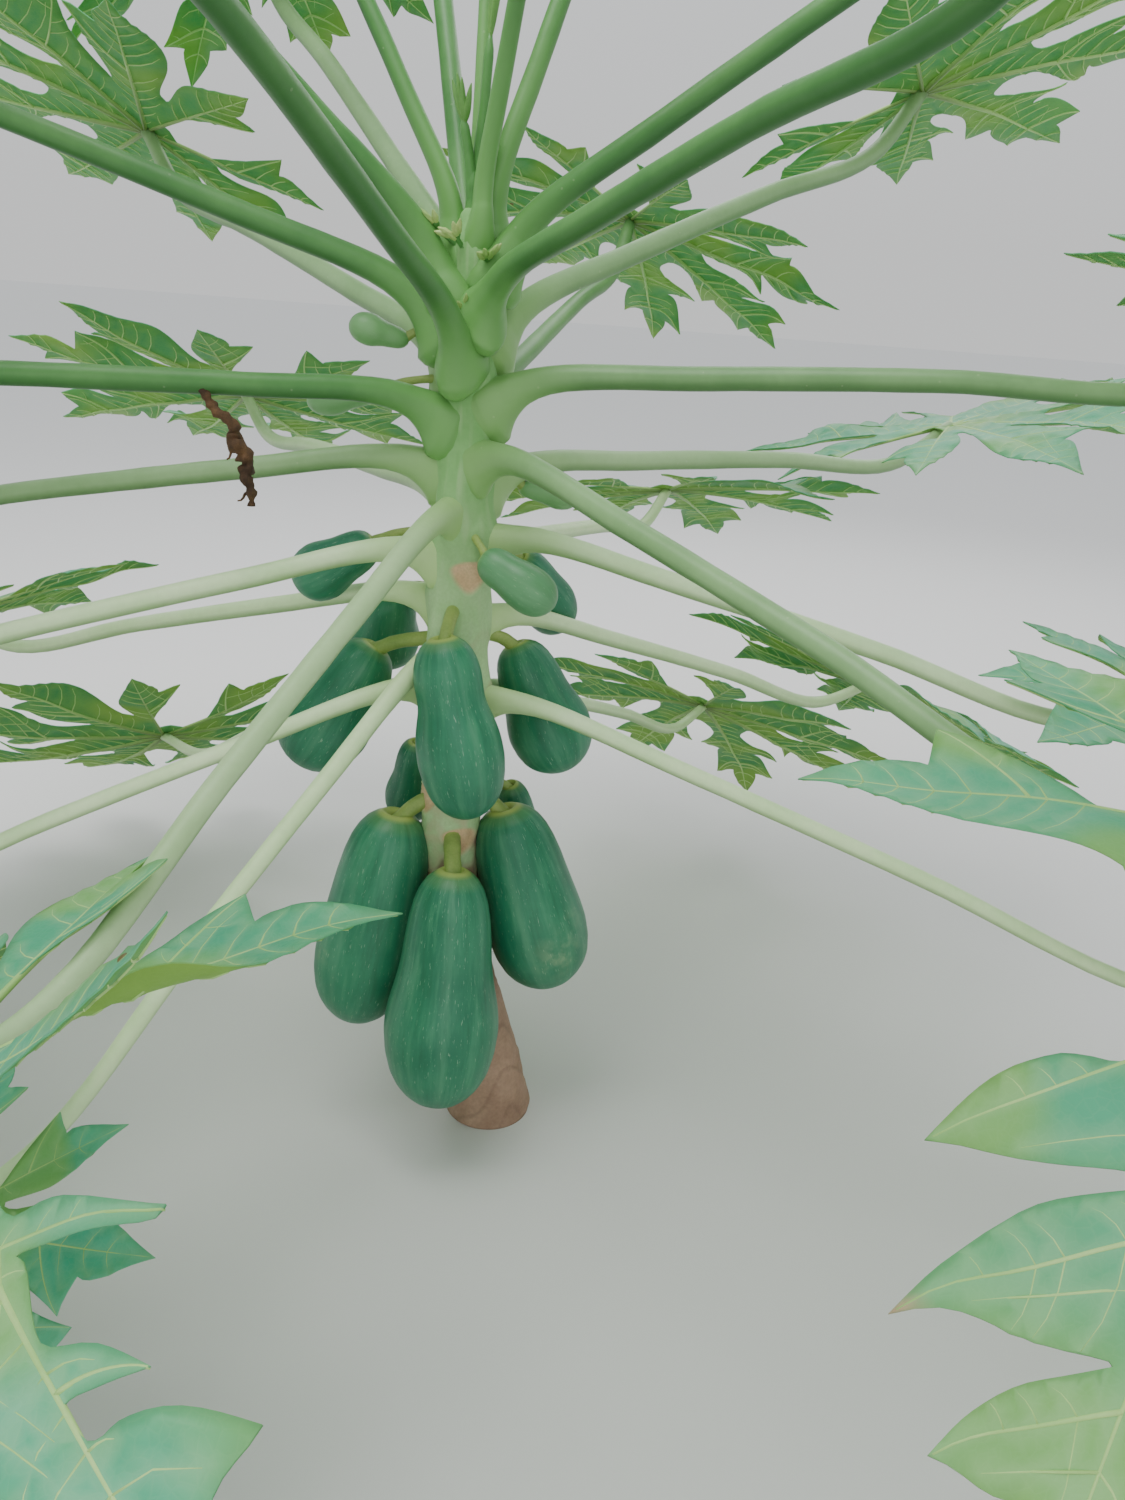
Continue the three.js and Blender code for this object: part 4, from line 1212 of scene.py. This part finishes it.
def mottle_group():
    """Soft cloudy change between two colours, with a finer grain on top."""
    group, start, end = shader_group(
        "soft mottle",
        [("Place", "vector", None), ("First", "colour", None), ("Second", "colour", None),
         ("Scale", "value", 20.0), ("Grain", "value", 0.1)],
        [("Colour", "colour"), ("Mask", "value")])
    place, first, second, scale, grain = (start.outputs[k] for k in range(5))
    mask = span(group, noise(group, place, scale, 4.0, Roughness=0.55), 0.36, 0.64)
    dark = span(group, noise(group, place, scaled(group, scale, 14.0), 2.0), 0.35, 0.65)
    shade = sums(group, "MULTIPLY", dark, grain)
    colour = blend(group, shade, blend(group, mask, first, second), (0.0, 0.0, 0.0, 1.0))
    group.links.new(colour, end.inputs["Colour"])
    group.links.new(mask, end.inputs["Mask"])
    return group


def speck_group():
    """Mask of small scattered specks."""
    group, start, end = shader_group(
        "scattered specks",
        [("Place", "vector", None), ("Scale", "value", 60.0), ("Size", "value", 0.12),
         ("Share", "value", 0.5)],
        [("Mask", "value")])
    place, scale, size, share = (start.outputs[k] for k in range(4))
    cells = node(group, "ShaderNodeTexVoronoi", {"Vector": place, "Scale": scale})
    spot = sums(group, "LESS_THAN", cells.outputs["Distance"], size)
    pick = node(group, "ShaderNodeSeparateColor", {0: cells.outputs["Color"]}).outputs[0]
    chosen = sums(group, "LESS_THAN", pick, share)
    group.links.new(sums(group, "MULTIPLY", spot, chosen), end.inputs["Mask"])
    return group


def waxy_bump_group():
    """Fine uneven surface as a height for a bump."""
    group, start, end = shader_group(
        "fine unevenness",
        [("Place", "vector", None), ("Scale", "value", 200.0)],
        [("Height", "value")])
    coarse = noise(group, start.outputs["Place"], start.outputs["Scale"], 5.0, Roughness=0.6)
    group.links.new(coarse, end.inputs["Height"])
    return group


def net_group():
    """Net of the smallest veins: pale lines round small fields, and the height that goes with it."""
    group, start, end = shader_group(
        "net of small veins",
        [("Place", "vector", None), ("Scale", "value", 130.0)],
        [("Line", "value"), ("Height", "value")])
    place, scale = (start.outputs[k] for k in range(2))
    bend = node(group, "ShaderNodeTexNoise", {"Vector": place, "Scale": 40.0, "Detail": 1.0})
    shift = node(group, "ShaderNodeVectorMath", {0: bend.outputs["Color"], 1: NET_SHIFT},
                 operation="MULTIPLY").outputs[0]
    place = node(group, "ShaderNodeVectorMath", {0: place, 1: shift}, operation="ADD").outputs[0]
    cells = node(group, "ShaderNodeTexVoronoi", {"Vector": place, "Scale": scale},
                 feature="DISTANCE_TO_EDGE")
    line = span(group, cells.outputs["Distance"], 0.0, 0.09, 1.0, 0.0)
    group.links.new(line, end.inputs["Line"])
    group.links.new(span(group, cells.outputs["Distance"], 0.0, 0.3), end.inputs["Height"])
    return group


def new_surface(name, roughness, **plain):
    """Material with its tree and its one shader, whose constant values are set on its own sockets."""
    material = bpy.data.materials.new(name)
    material.use_nodes = True
    tree = material.node_tree
    shader = tree.nodes["Principled BSDF"]
    shader.inputs["Roughness"].default_value = roughness
    for key, value in plain.items():
        shader.inputs[key.replace("_", " ")].default_value = value
    return material, tree, shader


def use_group(tree, group, links):
    return node(tree, "ShaderNodeGroup", links, node_tree=group)


def bump(tree, shader, height, strength, distance):
    made = node(tree, "ShaderNodeBump", {"Height": height, "Strength": strength, "Distance": distance})
    tree.links.new(made.outputs["Normal"], shader.inputs["Normal"])


def fine_bump(tree, shader, groups, place, scale, strength, distance):
    fine = use_group(tree, groups["bump"], {"Place": place, "Scale": scale})
    bump(tree, shader, fine.outputs["Height"], strength, distance)


def specks(tree, groups, place, scale, size, share):
    """Mask of small specks over a place."""
    made = use_group(tree, groups["speck"], {"Place": place, "Scale": scale, "Size": size, "Share": share})
    return made.outputs["Mask"]


def rgb(red, green, blue):
    """Colour from its 0 to 255 values as seen, as the linear values that a shader takes."""
    def linear(value):
        share = value / 255
        return share / 12.92 if share <= 0.04045 else ((share + 0.055) / 1.055) ** 2.4
    return (linear(red), linear(green), linear(blue), 1.0)


YOUNG_STALK = (rgb(68, 126, 60), rgb(90, 146, 76))
# Painted shade for the lower side of the young stalks
YOUNG_STALK_PAINTED_SHADE = rgb(38, 90, 38)
YOUNG_STALK_FOOT = rgb(114, 168, 90)
OLD_STALK = (rgb(208, 238, 178), rgb(224, 246, 196))
# Painted shade for the lower side of the old stalks
OLD_STALK_PAINTED_SHADE = rgb(110, 156, 76)
OLD_STALK_FOOT = rgb(178, 212, 134)
GREEN_BARK = (rgb(172, 212, 148), rgb(190, 222, 166))
UPPER_BARK = (rgb(118, 174, 98), rgb(136, 188, 116))
TAN_BARK = (rgb(178, 146, 122), rgb(152, 120, 98))
SCAR_BARK = (rgb(226, 194, 152), rgb(206, 172, 130))
FRUIT_GREEN = (rgb(26, 110, 78), rgb(46, 128, 92))
DRY_SPOT = rgb(112, 96, 52)
DRY_POINT = rgb(196, 150, 124)
STALK_SPECK = rgb(226, 230, 196)
BARK_STREAK = rgb(186, 206, 160)
BARK_FRAYED = rgb(204, 204, 158)
# Painted shade in the creases of the folds round the trunk's foot
BARK_CREASE_SHADE = rgb(104, 80, 66)
FRUIT_PALE_STREAK = rgb(82, 152, 112)
FRUIT_DARK_STREAK = rgb(16, 78, 50)
FRUIT_DASH = rgb(164, 200, 168)
FRUIT_GROOVE = rgb(138, 186, 150)
FRUIT_SCUFF = rgb(156, 184, 140)
FRUIT_CROWN = rgb(128, 168, 96)
FRUIT_COLLAR = rgb(164, 182, 98)
# Painted shade in the dip where the stalk enters the fruit
FRUIT_PIT_SHADE = rgb(70, 84, 36)
FRUIT_YOUNG = rgb(128, 176, 110)
BLADE_TOP = {
    "young": (rgb(78, 164, 92), rgb(62, 146, 84)), "old": (rgb(72, 182, 150), rgb(56, 166, 134)),
    "vein": rgb(172, 214, 160), "patch": rgb(140, 182, 72), "roughness": 0.5, "net_strength": 0.05,
}
BLADE_UNDER = {
    "young": (rgb(78, 158, 84), rgb(62, 146, 74)), "old": (rgb(70, 149, 86), rgb(56, 136, 76)),
    "vein": rgb(140, 186, 76), "patch": rgb(140, 174, 56), "roughness": 0.6, "net_strength": 0.1,
}
LEAF_RIB = (rgb(160, 204, 116), rgb(180, 214, 134))
# Painted shade for the lower sides of the main ribs near the stalk's end
LEAF_RIB_PAINTED_SHADE = rgb(88, 116, 46)
FRUIT_STALK = (rgb(158, 178, 96), rgb(132, 158, 80))
FLOWER_BUD = (rgb(186, 206, 128), rgb(148, 186, 102))
YOUNG_GREEN = (rgb(112, 164, 80), rgb(92, 144, 68))
DRIED_BROWN = (rgb(112, 80, 50), rgb(66, 46, 30))


def mottled(tree, groups, place, tones, scale, grain):
    """Colour that changes softly between two tones."""
    made = use_group(tree, groups["mottle"], {
        "Place": place, "First": tones[0], "Second": tones[1], "Scale": scale, "Grain": grain})
    return made.outputs["Colour"]


def blade_material(name, groups, young, old, vein, patch, roughness, net_strength):
    material, tree, shader = new_surface(name, roughness, Specular_IOR_Level=0.4)
    place = object_place(tree)
    fresh = mottled(tree, groups, place, young, 7.0, 0.03)
    aged = mottled(tree, groups, place, old, 8.0, 0.04)
    net = use_group(tree, groups["net"], {"Place": place, "Scale": 210.0})
    body = tinted(tree, blend(tree, attribute(tree, "age"), fresh, aged), [
        (attribute(tree, "patch", 0.6), patch),
        (scaled(tree, net.outputs["Line"], net_strength), vein),
        (attribute(tree, "vein", 0.22), vein),
        (attribute(tree, "rim", 0.16), patch),
        (specks(tree, groups, place, 30.0, 0.09, 0.1), DRY_SPOT),
        (attribute(tree, "dry"), DRY_POINT),
    ])
    tree.links.new(body, shader.inputs["Base Color"])
    bump(tree, shader, net.outputs["Height"], 0.16, 0.0005)
    return material


def stalk_material(groups):
    material, tree, shader = new_surface("leaf stalk skin", 0.42, Specular_IOR_Level=0.45)
    place = object_place(tree)
    old = span(tree, attribute(tree, "age"), 0.47, 0.75)
    young_skin = mottled(tree, groups, place, YOUNG_STALK, 12.0, 0.04)
    old_skin = mottled(tree, groups, place, OLD_STALK, 12.0, 0.04)
    body = tinted(tree, blend(tree, old, young_skin, old_skin), [
        # Painted shade darkens the stalk's lower side
        (attribute(tree, "below", 0.85), blend(tree, old, YOUNG_STALK_PAINTED_SHADE, OLD_STALK_PAINTED_SHADE)),
        (span(tree, attribute(tree, "share"), 0.0, 0.13, 0.8, 0.0),
         blend(tree, old, YOUNG_STALK_FOOT, OLD_STALK_FOOT)),
        (scaled(tree, specks(tree, groups, place, 120.0, 0.12, 0.15), 0.1), STALK_SPECK),
    ])
    tree.links.new(body, shader.inputs["Base Color"])
    fine_bump(tree, shader, groups, place, 260.0, 0.12, 0.0008)
    return material


def rib_material(name, groups, tones, hub):
    """Rib and veins; hub is the painted shade laid on the main ribs' lower sides near the stalk's end,
    where they stand proud underneath.
    """
    material, tree, shader = new_surface(name, 0.5)
    body = mottled(tree, groups, object_place(tree), tones, 25.0, 0.04)
    # Painted shade on the main ribs' lower sides near the stalk's end
    body = blend(tree, attribute(tree, "shade"), body, hub)
    tree.links.new(body, shader.inputs["Base Color"])
    return material


def bark_material(groups):
    material, tree, shader = new_surface("trunk bark", 0.72)
    place = object_place(tree)
    low = mottled(tree, groups, place, GREEN_BARK, 28.0, 0.1)
    high = mottled(tree, groups, place, UPPER_BARK, 20.0, 0.05)
    corky = mottled(tree, groups, place, TAN_BARK, 22.0, 0.14)
    scar = mottled(tree, groups, place, SCAR_BARK, 40.0, 0.14)
    old = attribute(tree, "old")
    off_edge = sums(tree, "ABSOLUTE", scaled(tree, sums(tree, "SUBTRACT", old, 0.45), 3.0))
    frayed = sums(tree, "SUBTRACT", 1.0, off_edge, True)
    body = tinted(tree, low, [
        (span(tree, attribute(tree, "level"), 0.56, 0.76), high),
        (span(tree, attribute(tree, "streak"), 0.55, 1.0, 0.0, 0.3), BARK_STREAK),
        (old, corky),
        (scaled(tree, frayed, 0.4), BARK_FRAYED),
        # Painted shade in the folds' creases
        (attribute(tree, "crease", 0.3), BARK_CREASE_SHADE),
        (attribute(tree, "scar"), scar),
    ])
    tree.links.new(body, shader.inputs["Base Color"])
    fine_bump(tree, shader, groups, place, 220.0, 0.4, 0.0012)
    return material


def fruit_material(groups):
    """Fruit skin, whose streaks and dashes run long down the fruit and narrow round it."""
    material, tree, shader = new_surface("fruit skin", 0.42, Specular_IOR_Level=0.5)
    place = object_place(tree)
    skin = node(tree, "ShaderNodeCombineXYZ", {
        0: attribute(tree, "around_x"), 1: attribute(tree, "around_y"),
        2: attribute(tree, "down", 0.3)}).outputs[0]
    streaks = noise(tree, skin, 3.6, 4.0, Roughness=0.6)
    dashes = noise(tree, skin, 26.0, 2.0, Roughness=0.6)
    worn = span(tree, noise(tree, place, 70.0, 3.0, Roughness=0.6), 0.4, 0.6, 0.2, 1.0)
    scuff = sums(tree, "MULTIPLY", attribute(tree, "scuff"), worn)
    colour = tinted(tree, mottled(tree, groups, place, FRUIT_GREEN, 14.0, 0.04), [
        (span(tree, streaks, 0.5, 0.68, 0.0, 0.4), FRUIT_PALE_STREAK),
        (span(tree, streaks, 0.46, 0.32, 0.0, 0.3), FRUIT_DARK_STREAK),
        (span(tree, dashes, 0.66, 0.7, 0.0, 0.4), FRUIT_DASH),
        (attribute(tree, "groove", 0.12), FRUIT_GROOVE),
        (scaled(tree, scuff, 0.55), FRUIT_SCUFF),
        (span(tree, attribute(tree, "along"), 0.94, 0.99, 0.0, 0.4), FRUIT_CROWN),
        (attribute(tree, "collar"), FRUIT_COLLAR),
        # Painted shade in the dip round the stalk
        (attribute(tree, "pit", 0.8), FRUIT_PIT_SHADE),
        (attribute(tree, "young", 0.75), FRUIT_YOUNG),
    ])
    tree.links.new(colour, shader.inputs["Base Color"])
    fine_bump(tree, shader, groups, place, 120.0, 0.15, 0.0012)
    return material


def plain_material(name, groups, tones, roughness=0.5, scale=40.0, grain=0.1, strength=0.2):
    material, tree, shader = new_surface(name, roughness)
    place = object_place(tree)
    tree.links.new(mottled(tree, groups, place, tones, scale, grain), shader.inputs["Base Color"])
    fine_bump(tree, shader, groups, place, 240.0, strength, 0.001)
    return material


def make_camera():
    pitch, roll = math.radians(CAMERA_PITCH), math.radians(CAMERA_ROLL)
    across = Vector((1, 0, 0))
    upward = Vector((0, math.sin(pitch), math.cos(pitch)))
    ahead = Vector((0, math.cos(pitch), -math.sin(pitch)))
    right = across * math.cos(roll) + upward * math.sin(roll)
    top = upward * math.cos(roll) - across * math.sin(roll)
    turn = Matrix((right, top, -ahead)).transposed()
    data = bpy.data.cameras.new("view")
    data.lens = CAMERA_LENS
    data.sensor_width = CAMERA_SENSOR
    data.clip_start = CAMERA_CLIP
    camera = bpy.data.objects.new("view", data)
    camera.matrix_world = Matrix.Translation(CAMERA_PLACE) @ turn.to_4x4()
    bpy.context.scene.collection.objects.link(camera)
    bpy.context.scene.camera = camera


# Stage: half the floor's side, and each light's place, size and power
FLOOR_HALF = 30.0
FLOOR_TONE = (0.7, 0.69, 0.67, 1)
ROOM_LOW_TONE = (0.76, 0.77, 0.77, 1)
ROOM_HIGH_TONE = (1.0, 1.05, 1.1, 1)
LIGHTS = {
    "top light": ((-0.8, -0.6, 3.2), 2.0, 85),
    "front light": ((0.6, -3.0, 1.7), 2.2, 14),
    "back light": ((0.8, 2.6, 2.4), 2.4, 30),
}
LIGHTS_AIM = (0, 0, 0.6)


def make_stage():
    """Plain pale floor, a pale room and soft lights."""
    mesh = bpy.data.meshes.new("floor")
    corners = [(x * FLOOR_HALF, y * FLOOR_HALF, 0) for x, y in ((-1, -1), (1, -1), (1, 1), (-1, 1))]
    mesh.from_pydata(corners, [], [(0, 1, 2, 3)])
    floor = bpy.data.objects.new("floor", mesh)
    bpy.context.scene.collection.objects.link(floor)
    material, _, shader = new_surface("pale floor", 0.9)
    shader.inputs["Base Color"].default_value = FLOOR_TONE
    mesh.materials.append(material)
    world = bpy.data.worlds.new("pale room")
    world.use_nodes = True
    tree = world.node_tree
    way = tree.nodes.new("ShaderNodeTexCoord").outputs["Generated"]
    height = node(tree, "ShaderNodeSeparateXYZ", {0: way}).outputs["Z"]
    tone = blend(tree, span(tree, height, 0.05, 0.7), ROOM_LOW_TONE, ROOM_HIGH_TONE)
    tree.links.new(tone, tree.nodes["Background"].inputs["Color"])
    bpy.context.scene.world = world
    for name, (place, size, power) in LIGHTS.items():
        data = bpy.data.lights.new(name, "AREA")
        data.size = size
        data.energy = power
        lamp = bpy.data.objects.new(name, data)
        lamp.location = place
        aim = Vector(LIGHTS_AIM) - Vector(place)
        lamp.rotation_euler = aim.to_track_quat("-Z", "Y").to_euler()
        bpy.context.scene.collection.objects.link(lamp)


make_camera()
make_stage()

groups = {"mottle": mottle_group(), "speck": speck_group(), "bump": waxy_bump_group(), "net": net_group()}
stalk_skin = stalk_material(groups)
blade_top = blade_material("blade top", groups, **BLADE_TOP)
blade_under = blade_material("blade underside", groups, **BLADE_UNDER)
rib_skin = rib_material("leaf rib", groups, LEAF_RIB, LEAF_RIB_PAINTED_SHADE)
fruit_skin = fruit_material(groups)
fruit_stalk = plain_material("fruit stalk", groups, FRUIT_STALK)
bud_skin = plain_material("flower bud", groups, FLOWER_BUD)
tip_green = plain_material("young green", groups, YOUNG_GREEN)
dried_brown = plain_material("dried brown", groups, DRIED_BROWN, 0.9, 60.0, 0.3, 0.6)

make_trunk(bark_material(groups))
for number in LEAVES:
    make_leaf(number, [stalk_skin, blade_top, blade_under, rib_skin])
for seed, name in enumerate(FRUITS):
    make_fruit(name, [fruit_skin, fruit_stalk], seed + 3)
for seed, name in enumerate(FLOWERS):
    make_flowers(name, [stalk_skin, bud_skin], seed)
make_heart([stalk_skin, tip_green])
make_dried_stem(dried_brown)
